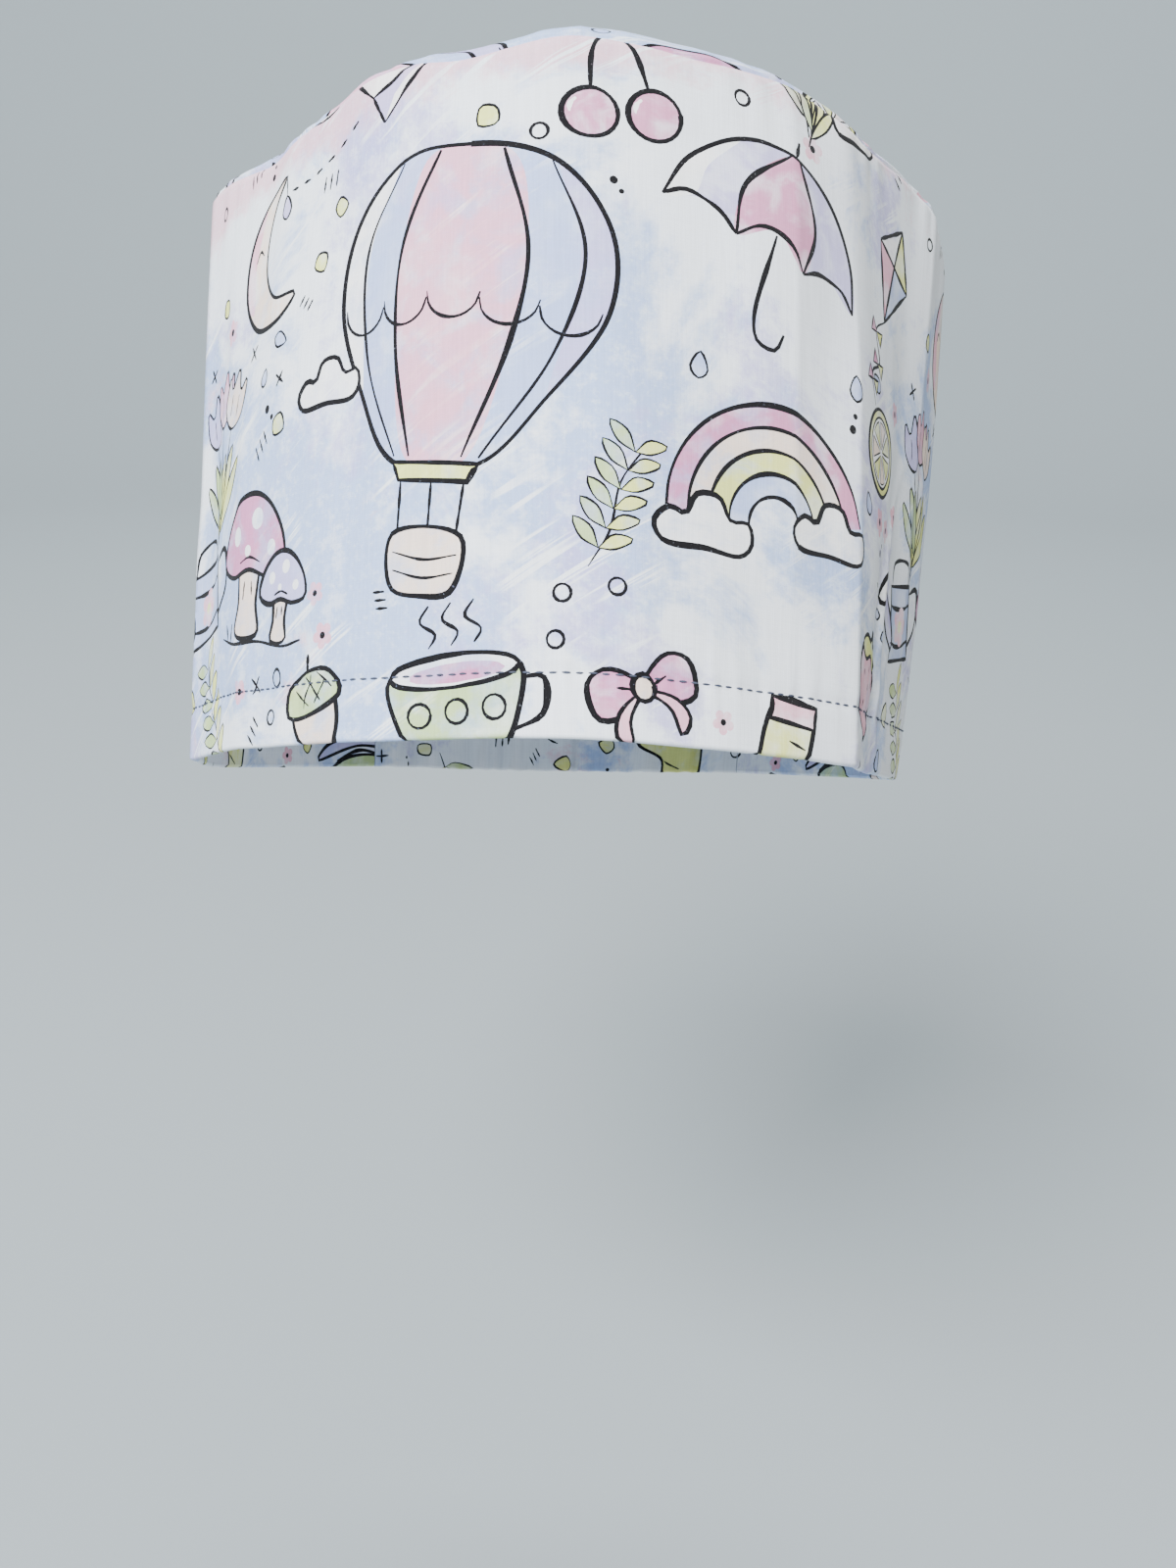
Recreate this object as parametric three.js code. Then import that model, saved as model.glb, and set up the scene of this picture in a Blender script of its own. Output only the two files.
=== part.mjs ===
// A cotton scrub cap, kept in the form it has when worn: a wide band that stands round the front and the
// sides, a soft crown seamed to the band's arched top edge, and a gathered nape.
// Lengths are in millimetres. The cap is shaped with its hem level, X to the wearer's left, -Y to the front
// and +Z up, and then leans back by the worn tilt about the centre of its opening.
import * as THREE from 'three';

// The whole cap
const openingWidth = 176;
const openingDepth = 204;
const frontHeight = 136;
const wornTilt = 22;

// Cloth
const clothWall = 1.2;
const hemDepth = 12;
const facingWall = 1.1;
const casingHeight = 22;
const casingWall = 2.6;
const seamGap = 0.3;

// The band stands nearly straight: it bows a little between the hem and the seam, and has soft folds
const bandBow = 1;
const foldRise = 1.8;
const foldSoftness = 0.12;
const foldCrispness = 1.7;

// The crown: where its highest point lies, and how it springs from the seam
const crownRise = 8;
const crownPeakAcross = 5;
const crownPeakAlong = -22;
const crownPuff = 7.5;
const crownPuffInward = 12;
const crownBackBulgeDepth = 7;
const crownClimb = 0.62;
const crownRound = 0.55;

// Gathers that the elastic pulls into the nape
const gatherCount = 9;
const gatherDepth = 2.2;
const gatherFade = 70;
const casingRippleShare = 0.4;

// Fineness of the faceted walls
const stepsBetweenPlaces = 4;
const stepsInGathers = 18;
const bandRows = 9;
const crownRows = 11;
const trimRows = 2;

// Small steps round the cap, in places, and up it, in levels, that directions are measured over
const probeRound = 0.05;
const probeUp = 0.015;

const halfWidth = openingWidth / 2;
const halfDepth = openingDepth / 2;

// Places round the cap, from the front by the right of the picture to the nape and back: where the hem and
// the seam lie across and along, as shares of half the opening, then the seam's height as a share of the
// front height, the hem's rise as a share of its depth, and the crown's puff behind the seam as a share
const places = [
  ['front', 0.11, -1.0, 0.085, -0.848, 1.0, 0.0, 0.9],
  ['front right', 0.33, -0.952, 0.317, -0.804, 0.988, -0.08, 1.0],
  ['upper fold', 0.552, -0.856, 0.55, -0.69, 0.988, -0.17, 0.8],
  ['main crease', 0.701, -0.735, 0.719, -0.569, 0.967, -0.27, 0.5],
  ['right temple', 0.83, -0.45, 0.93, -0.314, 0.968, -0.33, 0.4],
  ['right side', 0.975, -0.06, 1.096, -0.029, 0.905, -0.33, 0.4],
  ['right ear', 0.98, 0.34, 1.04, 0.34, 0.75, -0.2, 0.6],
  ['right rear', 0.88, 0.64, 0.92, 0.65, 0.45, -0.1, 0.8],
  ['right end', 0.64, 0.86, 0.66, 0.88, 0, 0.0, 1.0],
  ['nape', 0.0, 1.0, 0.0, 1.02, 0, 0.0, 1.0],
  ['left end', -0.64, 0.86, -0.64, 0.88, 0, 0.0, 1.0],
  ['left rear', -0.88, 0.63, -0.86, 0.64, 0.45, -0.1, 0.8],
  ['left ear', -0.985, 0.32, -0.94, 0.34, 0.76, -0.2, 0.5],
  ['left side', -0.97, 0.0, -0.935, -0.02, 0.935, -0.25, 0.3],
  ['left corner', -0.925, -0.196, -0.895, -0.196, 0.961, -0.2, 0.2],
  ['left temple', -0.765, -0.49, -0.705, -0.431, 0.947, -0.08, 0.2],
  ['left brow', -0.614, -0.667, -0.566, -0.578, 0.962, -0.08, 0.2],
  ['front left', -0.36, -0.868, -0.355, -0.725, 0.989, -0.04, 0.3],
  ['left of front', -0.125, -0.971, -0.169, -0.804, 0.983, 0.0, 0.6],
].map(([place, hemX, hemY, seamX, seamY, seamZ, hemZ, puff]) => (
  { place, hemX, hemY, seamX, seamY, seamZ, hemZ, puff }
));

function placeNumber(name) {
  return places.findIndex((row) => row.place === name);
}

// Soft upright folds in the band: each lies some places beside a named one and reaches some places both
// ways. rise is a share of the fold's rise, outward, and from and to are shares of the band's height.
const folds = [
  { place: 'main crease', beside: 0, reach: 0.55, rise: 1, from: -0.4, to: 0.75 },
  { place: 'main crease', beside: 0.6, reach: 0.5, rise: -0.28, from: -0.3, to: 0.8 },
  { place: 'upper fold', beside: 0, reach: 0.7, rise: 0.72, from: 0.15, to: 1 },
  { place: 'right temple', beside: 0.35, reach: 0.35, rise: 0.61, from: 0.1, to: 1.1 },
  { place: 'left corner', beside: 0, reach: 0.3, rise: 0.72, from: -0.3, to: 1.2 },
  { place: 'left corner', beside: 0.4, reach: 0.35, rise: -0.33, from: 0.1, to: 0.9 },
];

const placeCount = places.length;
const rightEnd = placeNumber('right end');
const leftEnd = placeNumber('left end');
const napeSpan = leftEnd - rightEnd;

const hemLine = new THREE.CatmullRomCurve3(
  places.map((row) => new THREE.Vector3(row.hemX * halfWidth, row.hemY * halfDepth, row.hemZ * hemDepth)),
  true,
  'centripetal',
);
const seamLine = new THREE.CatmullRomCurve3(
  places.map((row) => new THREE.Vector3(
    row.seamX * halfWidth,
    row.seamY * halfDepth,
    Math.max(row.seamZ * frontHeight, casingHeight),
  )),
  true,
  'centripetal',
);
const puffLine = new THREE.CatmullRomCurve3(
  places.map((row, index) => new THREE.Vector3(index, row.puff, 0)),
  true,
  'catmullrom',
);
const crownPeak = new THREE.Vector3(crownPeakAcross, crownPeakAlong, frontHeight + crownRise);
const up = new THREE.Vector3(0, 0, 1);

function onLine(line, around) {
  return line.getPoint(THREE.MathUtils.euclideanModulo(around, placeCount) / placeCount);
}

// The shortest way round from one place to another, in places
function placesApart(around, other) {
  const half = placeCount / 2;
  return THREE.MathUtils.euclideanModulo(around - other + half, placeCount) - half;
}

function outwardAt(around) {
  const along = onLine(hemLine, around + probeRound).sub(onLine(hemLine, around - probeRound));
  return along.cross(up).setZ(0).normalize();
}

// How far the folds push the band outward at a place and a share of its height
function foldPush(around, level) {
  return folds.reduce((push, row) => {
    const at = placeNumber(row.place) + row.beside;
    const away = Math.abs(placesApart(around, at)) / row.reach;
    if (away >= 1) return push;
    const enters = THREE.MathUtils.smoothstep(level, row.from, row.from + 2 * foldSoftness);
    const leaves = 1 - THREE.MathUtils.smoothstep(level, row.to - 2 * foldSoftness, row.to + foldSoftness);
    const tent = (1 - away) ** foldCrispness;
    return push + foldRise * row.rise * tent * enters * leaves;
  }, 0);
}

// How far the gathers push the nape in and out
function gatherPush(around, height) {
  const share = (around - rightEnd) / napeSpan;
  if (share <= 0 || share >= 1) return 0;
  const ends = THREE.MathUtils.smoothstep(Math.min(share, 1 - share), 0, 1 / gatherCount);
  const aboveCasing = Math.max(height - casingHeight, 0);
  const fade = Math.max(1 - aboveCasing / gatherFade, 0) ** 2;
  const grown = THREE.MathUtils.clamp(aboveCasing / hemDepth, 0, 1);
  const ripple = THREE.MathUtils.lerp(casingRippleShare, 1, grown);
  return gatherDepth * ripple * Math.cos(2 * Math.PI * gatherCount * share) * ends * fade;
}

// A point of the cap's outer face. level runs from 0 at the hem to 1 at the seam and 2 at the crown's peak.
function facePoint(around, level) {
  const hem = onLine(hemLine, around);
  const seam = onLine(seamLine, around);
  const outward = outwardAt(around);
  if (level <= 1) {
    const bow = bandBow * Math.sin(Math.PI * level) * seam.z / frontHeight;
    const point = hem.lerp(seam, level);
    return point.addScaledVector(outward, bow + foldPush(around, level) + gatherPush(around, point.z));
  }
  const climb = crownPeak.z - seam.z;
  const lowness = climb / crownPeak.z;
  const inward = crownPuffInward * (1 - lowness) - crownBackBulgeDepth * lowness;
  const puff = onLine(puffLine, around).y;
  const spring = seam.clone().addScaledVector(up, crownPuff * puff + crownClimb * climb);
  spring.addScaledVector(outward, -inward);
  const shoulder = seam.clone().sub(crownPeak).setZ(0).multiplyScalar(crownRound).add(crownPeak);
  const point = new THREE.CubicBezierCurve3(seam, spring, shoulder, crownPeak).getPoint(level - 1);
  const push = foldPush(around, level) + gatherPush(around, point.z);
  return point.addScaledVector(outward, push * Math.max(2 - level, 0));
}

// The outward direction of the cloth
function faceNormal(around, level) {
  if (level >= 2) return up.clone();
  const along = facePoint(around + probeRound, level).sub(facePoint(around - probeRound, level));
  const low = facePoint(around, Math.max(level - probeUp, 0));
  const high = facePoint(around, Math.min(level + probeUp, 2));
  return along.cross(high.sub(low)).normalize();
}

function clothPoint(around, level, depth) {
  return facePoint(around, level).addScaledVector(faceNormal(around, level), -depth);
}

// A closed cloth wall over a grid of columns round the cap and levels up it. It either runs all the way
// round or has two ends, and either stops at its top level or closes in a pole there.
function clothWallGeometry({ columns, levelsAt, outerDepth, wall, allRound, pole }) {
  const rows = levelsAt(columns[0]).length;
  const points = [];
  for (const around of columns) {
    for (const level of levelsAt(around)) {
      points.push(clothPoint(around, level, outerDepth), clothPoint(around, level, outerDepth + wall));
    }
  }
  const outer = (column, row) => ((column % columns.length) * rows + row) * 2;
  const inner = (column, row) => outer(column, row) + 1;
  const faces = [];
  const quad = (a, b, c, d) => faces.push(a, b, c, a, c, d);
  const spans = allRound ? columns.length : columns.length - 1;
  const last = rows - 1;
  for (let column = 0; column < spans; column++) {
    const next = column + 1;
    for (let row = 0; row < (pole ? last - 1 : last); row++) {
      quad(outer(column, row), outer(next, row), outer(next, row + 1), outer(column, row + 1));
      quad(inner(column, row), inner(column, row + 1), inner(next, row + 1), inner(next, row));
    }
    quad(outer(column, 0), inner(column, 0), inner(next, 0), outer(next, 0));
    if (pole) {
      faces.push(outer(column, last - 1), outer(next, last - 1), outer(0, last));
      faces.push(inner(next, last - 1), inner(column, last - 1), inner(0, last));
    } else {
      quad(outer(column, last), outer(next, last), inner(next, last), inner(column, last));
    }
  }
  if (!allRound) {
    for (let row = 0; row < last; row++) {
      quad(outer(0, row), outer(0, row + 1), inner(0, row + 1), inner(0, row));
      quad(outer(spans, row), inner(spans, row), inner(spans, row + 1), outer(spans, row + 1));
    }
  }
  const geometry = new THREE.BufferGeometry();
  geometry.setAttribute('position', new THREE.Float32BufferAttribute(points.flatMap((p) => p.toArray()), 3));
  geometry.setIndex(faces);
  return geometry.toNonIndexed();
}

// Evenly spaced values from the first to the last, with both in the list
function evenly(first, last, steps) {
  const whole = Math.round(steps);
  return [...Array(whole + 1).keys()].map((step) => THREE.MathUtils.lerp(first, last, step / whole));
}

function heightOf(around) {
  return onLine(seamLine, around).z - onLine(hemLine, around).z;
}

// Half the seam's gap as a share of a place's spacing along the hem
function gapRound(around) {
  const span = onLine(hemLine, around + probeRound).distanceTo(onLine(hemLine, around - probeRound));
  return seamGap / 2 / (span / (2 * probeRound));
}

// Columns of the band run from its left end by the front to its right end
const bandFirst = leftEnd - placeCount;
const bandColumns = evenly(bandFirst, rightEnd, (rightEnd - bandFirst) * stepsBetweenPlaces);
const napeColumns = evenly(rightEnd, leftEnd, stepsInGathers * napeSpan);

function shortened(columns) {
  const last = columns.length - 1;
  return columns.map((around, index) => {
    if (index === 0) return around + gapRound(around);
    return index === last ? around - gapRound(around) : around;
  });
}

function bandLevels(around) {
  return evenly(0, 1 - seamGap / 2 / heightOf(around), bandRows);
}

function facingLevels(around) {
  return evenly(0, hemDepth / heightOf(around), trimRows);
}

function casingLevels(around) {
  return evenly(0, 1 - seamGap / 2 / heightOf(around), trimRows);
}

function crownLevels(around) {
  const firstSpan = facePoint(around, 1).distanceTo(facePoint(around, 1 + 1 / crownRows)) * crownRows;
  return evenly(1 + seamGap / 2 / firstSpan, 2, crownRows);
}

function piece(name, geometry, color, roughness) {
  const mesh = new THREE.Mesh(geometry, new THREE.MeshStandardMaterial({ color, roughness, metalness: 0 }));
  mesh.name = name;
  return mesh;
}

const printedCotton = '#dcdff0';
const shadedCotton = '#cfc8d2';
const cottonRoughness = 0.9;

const frontPanel = piece('front_panel', clothWallGeometry({
  columns: shortened(bandColumns),
  levelsAt: bandLevels,
  outerDepth: 0,
  wall: clothWall,
  allRound: false,
  pole: false,
}), printedCotton, cottonRoughness);

const hemFacing = piece('hem_facing', clothWallGeometry({
  columns: shortened(bandColumns),
  levelsAt: facingLevels,
  outerDepth: clothWall + seamGap,
  wall: facingWall,
  allRound: false,
  pole: false,
}), shadedCotton, cottonRoughness);

const napeCasing = piece('nape_casing', clothWallGeometry({
  columns: shortened(napeColumns),
  levelsAt: casingLevels,
  outerDepth: 0,
  wall: casingWall,
  allRound: false,
  pole: false,
}), shadedCotton, cottonRoughness);

const crownPanel = piece('crown_panel', clothWallGeometry({
  columns: [...bandColumns.slice(0, -1), ...napeColumns.slice(0, -1)],
  levelsAt: crownLevels,
  outerDepth: 0,
  wall: clothWall,
  allRound: true,
  pole: true,
}), printedCotton, cottonRoughness);

// The whole cap leans back about the centre of its opening
const cap = new THREE.Group();
cap.add(frontPanel, hemFacing, napeCasing, crownPanel);
cap.rotation.x = -THREE.MathUtils.degToRad(wornTilt);

const part = new THREE.Group();
part.add(cap);

export default part;
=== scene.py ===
"""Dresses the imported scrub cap: printed cotton over its form, a turned hem, a gathered nape and stitches."""
import math
import random

import bpy
import numpy as np
from mathutils import Matrix, Vector
from mathutils.geometry import delaunay_2d_cdt


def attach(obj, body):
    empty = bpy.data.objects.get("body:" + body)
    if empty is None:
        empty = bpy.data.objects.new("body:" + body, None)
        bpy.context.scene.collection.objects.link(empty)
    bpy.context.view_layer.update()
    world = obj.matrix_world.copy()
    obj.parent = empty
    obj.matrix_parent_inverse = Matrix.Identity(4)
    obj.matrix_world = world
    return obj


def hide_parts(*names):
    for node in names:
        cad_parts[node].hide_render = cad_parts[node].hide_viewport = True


bl_info = {
    "name": "Scrub Cap Dressing",
    "version": (1, 0, 0),
    "blender": (4, 5, 0),
    "location": "3D View > Sidebar > Scrub Cap",
    "description": "Lays printed cotton, a turned hem, a gathered nape and stitches over a scrub cap",
    "category": "Object",
}

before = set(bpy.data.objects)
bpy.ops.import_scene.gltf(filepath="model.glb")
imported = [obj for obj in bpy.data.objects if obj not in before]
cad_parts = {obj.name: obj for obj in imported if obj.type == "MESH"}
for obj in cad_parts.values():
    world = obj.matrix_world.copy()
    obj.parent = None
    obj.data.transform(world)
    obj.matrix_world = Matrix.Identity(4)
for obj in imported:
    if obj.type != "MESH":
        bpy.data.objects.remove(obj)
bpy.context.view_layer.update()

MM = 0.001

# The form is worked out in millimetres in the cap's own frame, with its hem level, as the solids are
OPENING_WIDTH = 176.0
OPENING_DEPTH = 204.0
FRONT_HEIGHT = 136.0
WORN_TILT = math.radians(22.0)
HEM_DEPTH = 12.0
CASING_HEIGHT = 22.0
BAND_BOW = 1.0
CROWN_PEAK = np.array([5.0, -22.0, FRONT_HEIGHT + 8.0])
CROWN_PUFF = 7.5
CROWN_PUFF_INWARD = 12.0
CROWN_BACK_BULGE_DEPTH = 7.0
CROWN_CLIMB = 0.62
CROWN_ROUND = 0.55
GATHER_COUNT = 9
GATHER_DEPTH = 2.2
GATHER_FADE = 70.0
CASING_RIPPLE_SHARE = 0.4
FOLD_SOFTNESS = 0.12
FOLD_CRISPNESS = 1.7
LEVEL_BELOW_HEM = -0.2

# Places round the cap from the front by the right to the nape and back, as shares of the half width,
# the half depth, the front height, the hem's depth and the crown's puff
PLACE_COLUMNS = ("hem_x", "hem_y", "seam_x", "seam_y", "seam_z", "hem_z", "puff")
PLACES = {
    "front": (0.11, -1.0, 0.085, -0.848, 1.0, 0.0, 0.9),
    "front right": (0.33, -0.952, 0.317, -0.804, 0.988, -0.08, 1.0),
    "upper fold": (0.552, -0.856, 0.55, -0.69, 0.988, -0.17, 0.8),
    "main crease": (0.701, -0.735, 0.719, -0.569, 0.967, -0.27, 0.5),
    "right temple": (0.83, -0.45, 0.93, -0.314, 0.968, -0.33, 0.4),
    "right side": (0.975, -0.06, 1.096, -0.029, 0.905, -0.33, 0.4),
    "right ear": (0.98, 0.34, 1.04, 0.34, 0.75, -0.2, 0.6),
    "right rear": (0.88, 0.64, 0.92, 0.65, 0.45, -0.1, 0.8),
    "right end": (0.64, 0.86, 0.66, 0.88, 0.0, 0.0, 1.0),
    "nape": (0.0, 1.0, 0.0, 1.02, 0.0, 0.0, 1.0),
    "left end": (-0.64, 0.86, -0.64, 0.88, 0.0, 0.0, 1.0),
    "left rear": (-0.88, 0.63, -0.86, 0.64, 0.45, -0.1, 0.8),
    "left ear": (-0.985, 0.32, -0.94, 0.34, 0.76, -0.2, 0.5),
    "left side": (-0.97, 0.0, -0.935, -0.02, 0.935, -0.25, 0.3),
    "left corner": (-0.925, -0.196, -0.895, -0.196, 0.961, -0.2, 0.2),
    "left temple": (-0.765, -0.49, -0.705, -0.431, 0.947, -0.08, 0.2),
    "left brow": (-0.614, -0.667, -0.566, -0.578, 0.962, -0.08, 0.2),
    "front left": (-0.36, -0.868, -0.355, -0.725, 0.989, -0.04, 0.3),
    "left of front": (-0.125, -0.971, -0.169, -0.804, 0.983, 0.0, 0.6),
}
PLACE_NAMES = list(PLACES)
PLACE_COUNT = len(PLACES)
RIGHT_END = PLACE_NAMES.index("right end")
LEFT_END = PLACE_NAMES.index("left end")

# Soft upright folds of the band: the place they lie beside, how many places beside it, reach in places,
# rise as a share of the fold's rise, and span up the band
FOLD_RISE = 1.8
FOLDS = (
    ("main crease", 0, 0.55, 1, -0.4, 0.75),
    ("main crease", 0.6, 0.5, -0.28, -0.3, 0.8),
    ("upper fold", 0, 0.7, 0.72, 0.15, 1),
    ("right temple", 0.35, 0.35, 0.61, 0.1, 1.1),
    ("left corner", 0, 0.3, 0.72, -0.3, 1.2),
    ("left corner", 0.4, 0.35, -0.33, 0.1, 0.9),
)


def column(name):
    return np.array([row[PLACE_COLUMNS.index(name)] for row in PLACES.values()])


def closed_spline(points, centripetal=True):
    """The cubic coefficients of a closed spline through the points, one row for each span."""
    before, start, end, after = (np.roll(points, shift, axis=0) for shift in (1, 0, -1, -2))
    if centripetal:
        first, span, last = (
            np.sqrt(np.linalg.norm(b - a, axis=1))[:, None]
            for a, b in ((before, start), (start, end), (end, after))
        )
        leave = (start - before) / first - (end - before) / (first + span) + (end - start) / span
        arrive = (end - start) / span - (after - start) / (span + last) + (after - end) / last
        leave, arrive = leave * span, arrive * span
    else:
        leave, arrive = (end - before) / 2, (after - start) / 2
    square = 3 * (end - start) - 2 * leave - arrive
    cube = 2 * (start - end) + leave + arrive
    return np.stack([start, leave, square, cube], axis=1)


def on_spline(spline, around):
    around = np.mod(around, len(spline))
    span = np.minimum(around.astype(int), len(spline) - 1)
    share = (around - span)[..., None]
    start, leave, square, cube = (spline[span, k] for k in range(4))
    return start + share * (leave + share * (square + share * cube))


HEM_LINE = closed_spline(np.stack([
    column("hem_x") * OPENING_WIDTH / 2,
    column("hem_y") * OPENING_DEPTH / 2,
    column("hem_z") * HEM_DEPTH,
], axis=1))
SEAM_LINE = closed_spline(np.stack([
    column("seam_x") * OPENING_WIDTH / 2,
    column("seam_y") * OPENING_DEPTH / 2,
    np.maximum(column("seam_z") * FRONT_HEIGHT, CASING_HEIGHT),
], axis=1))
PUFF_LINE = closed_spline(column("puff")[:, None], centripetal=False)


def smoothstep(low, high, value):
    share = np.clip((value - low) / (high - low), 0, 1)
    return share * share * (3 - 2 * share)


def unit(vectors):
    return vectors / np.maximum(np.linalg.norm(vectors, axis=-1, keepdims=True), 1e-12)


def outward_at(around):
    step = 0.05
    along = on_spline(HEM_LINE, around + step) - on_spline(HEM_LINE, around - step)
    return unit(np.stack([along[..., 1], -along[..., 0], np.zeros_like(along[..., 0])], axis=-1))


def fold_push(around, level):
    push = np.zeros_like(around)
    half = PLACE_COUNT / 2
    for place, beside, reach, rise, low, high in FOLDS:
        at = PLACE_NAMES.index(place) + beside
        away = np.abs(np.mod(around - at + half, PLACE_COUNT) - half) / reach
        enters = smoothstep(low, low + 2 * FOLD_SOFTNESS, level)
        leaves = 1 - smoothstep(high - 2 * FOLD_SOFTNESS, high + FOLD_SOFTNESS, level)
        push = push + FOLD_RISE * rise * np.clip(1 - away, 0, None) ** FOLD_CRISPNESS * enters * leaves
    return push


def gather_push(around, height):
    share = np.clip((np.mod(around, PLACE_COUNT) - RIGHT_END) / (LEFT_END - RIGHT_END), 0, 1)
    ends = smoothstep(0, 1 / GATHER_COUNT, np.minimum(share, 1 - share))
    above = np.maximum(height - CASING_HEIGHT, 0)
    fade = np.maximum(1 - above / GATHER_FADE, 0) ** 2
    ripple = CASING_RIPPLE_SHARE + (1 - CASING_RIPPLE_SHARE) * np.clip(above / HEM_DEPTH, 0, 1)
    return GATHER_DEPTH * ripple * np.cos(2 * math.pi * GATHER_COUNT * share) * ends * fade


def face_point(around, level):
    """Points of the cap's plain outer face. level is 0 at the hem, 1 at the seam and 2 at the peak."""
    around, level = np.broadcast_arrays(np.asarray(around, float), np.asarray(level, float))
    hem, seam = on_spline(HEM_LINE, around), on_spline(SEAM_LINE, around)
    outward = outward_at(around)
    low = np.clip(level, LEVEL_BELOW_HEM, 1)
    bow = BAND_BOW * np.sin(math.pi * np.clip(low, 0, 1)) * seam[..., 2] / FRONT_HEIGHT
    band = hem + (seam - hem) * low[..., None]
    band_push = bow + fold_push(around, low) + gather_push(around, band[..., 2])

    climb = CROWN_PEAK[2] - seam[..., 2]
    lowness = climb / CROWN_PEAK[2]
    inward = CROWN_PUFF_INWARD * (1 - lowness) - CROWN_BACK_BULGE_DEPTH * lowness
    spring = seam - outward * inward[..., None]
    spring[..., 2] += CROWN_PUFF * on_spline(PUFF_LINE, around)[..., 0] + CROWN_CLIMB * climb
    shoulder = (seam - CROWN_PEAK) * CROWN_ROUND * np.array([1, 1, 0]) + CROWN_PEAK
    t = np.clip(level - 1, 0, 1)[..., None]
    s = 1 - t
    crown = s**3 * seam + 3 * s**2 * t * spring + 3 * s * t**2 * shoulder + t**3 * CROWN_PEAK
    crown_push = (fold_push(around, level) + gather_push(around, crown[..., 2])) * s[..., 0]

    on_band = level <= 1
    push = np.where(on_band, band_push, crown_push)
    return np.where(on_band[..., None], band, crown) + outward * push[..., None]


# Tables that turn places round the cap into millimetres of flat cloth
DENSE = np.linspace(0, PLACE_COUNT, PLACE_COUNT * 80 + 1)
SIDE_STEP = 0.02
UP_STEP = 0.006
LEVEL_CLOTH_RUNS_ALONG = 0.35


def lengths(points, axis=0):
    return np.linalg.norm(np.diff(points, axis=axis), axis=-1)


ROUND_LENGTHS = np.concatenate([[0], np.cumsum(lengths(face_point(DENSE, LEVEL_CLOTH_RUNS_ALONG)))])
ROUND = ROUND_LENGTHS[-1]
FULL_HEIGHTS = np.linalg.norm(on_spline(SEAM_LINE, DENSE) - on_spline(HEM_LINE, DENSE), axis=1)
CROWN_REACHES = lengths(face_point(DENSE[:, None], np.linspace(1, 2, 41)[None, :]), axis=1).sum(axis=1)
LEAVING = on_spline(SEAM_LINE, DENSE) - CROWN_PEAK
CROWN_TURNS = np.unwrap(np.arctan2(LEAVING[:, 1], LEAVING[:, 0]))


def at_place(table, around):
    return np.interp(np.mod(around, PLACE_COUNT), DENSE, table)


def flat_at(around):
    """Millimetres of cloth round the cap from the front, from minus half to plus half the way round."""
    length = at_place(ROUND_LENGTHS, around)
    return np.where(length > ROUND / 2, length - ROUND, length)


def around_at(flat):
    return np.interp(np.mod(flat, ROUND), ROUND_LENGTHS, DENSE)


RIGHT_SEAM = float(at_place(ROUND_LENGTHS, RIGHT_END))
LEFT_SEAM = float(at_place(ROUND_LENGTHS, LEFT_END)) - ROUND


# Close to its peak the crown's own direction is unsteady, so it turns to straight up between these levels
TURNS_UP_FROM = 1.93
TURNS_UP_BY = 1.985


def raw_normal(around, level):
    top = np.where(level <= 1, 1.0, TURNS_UP_BY)
    bottom = np.where(level <= 1, LEVEL_BELOW_HEM, 1 + 1e-6)
    near = np.clip(level, bottom, top)
    east = face_point(around + SIDE_STEP, near) - face_point(around - SIDE_STEP, near)
    high, low = np.minimum(near + UP_STEP, top), np.maximum(near - UP_STEP, bottom)
    return unit(np.cross(east, face_point(around, high) - face_point(around, low)))


SEAM_NORMALS = unit(raw_normal(DENSE, np.ones_like(DENSE)) + raw_normal(DENSE, np.full_like(DENSE, 1 + 1e-5)))
MITRE_REACH = 3.0


def cloth_normal(around, level, beside_seam):
    """Outward directions of the plain face, turned to the seam's own direction close beside it."""
    normal = raw_normal(around, level)
    seam = np.stack([at_place(SEAM_NORMALS[:, k], around) for k in range(3)], axis=-1)
    mitre = (1 - smoothstep(0, MITRE_REACH, beside_seam))[..., None]
    flatter = smoothstep(TURNS_UP_FROM, TURNS_UP_BY, level)[..., None]
    return unit((normal * (1 - mitre) + seam * mitre) * (1 - flatter) + np.array([0, 0, 1]) * flatter)


# Slack that only the cloth has, as waves that close round the cap: how many, slant, phase and rise in mm
SLACK_WAVES = (
    (8, 0.2, 0.2, 0.4),
    (11, -0.3, 1.9, 0.3),
    (17, 0.25, 4.1, 0.22),
    (26, -0.15, 0.7, 0.12),
    (38, 0.3, 2.6, 0.07),
)
STITCH_GROOVE = 0.3
STITCH_PUCKER = 0.16
SEAM_GROOVE = 0.6
SEAM_PUCKER = 0.3
RUFFLE = 0.95
RUFFLE_LENGTH = 7.2

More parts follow.
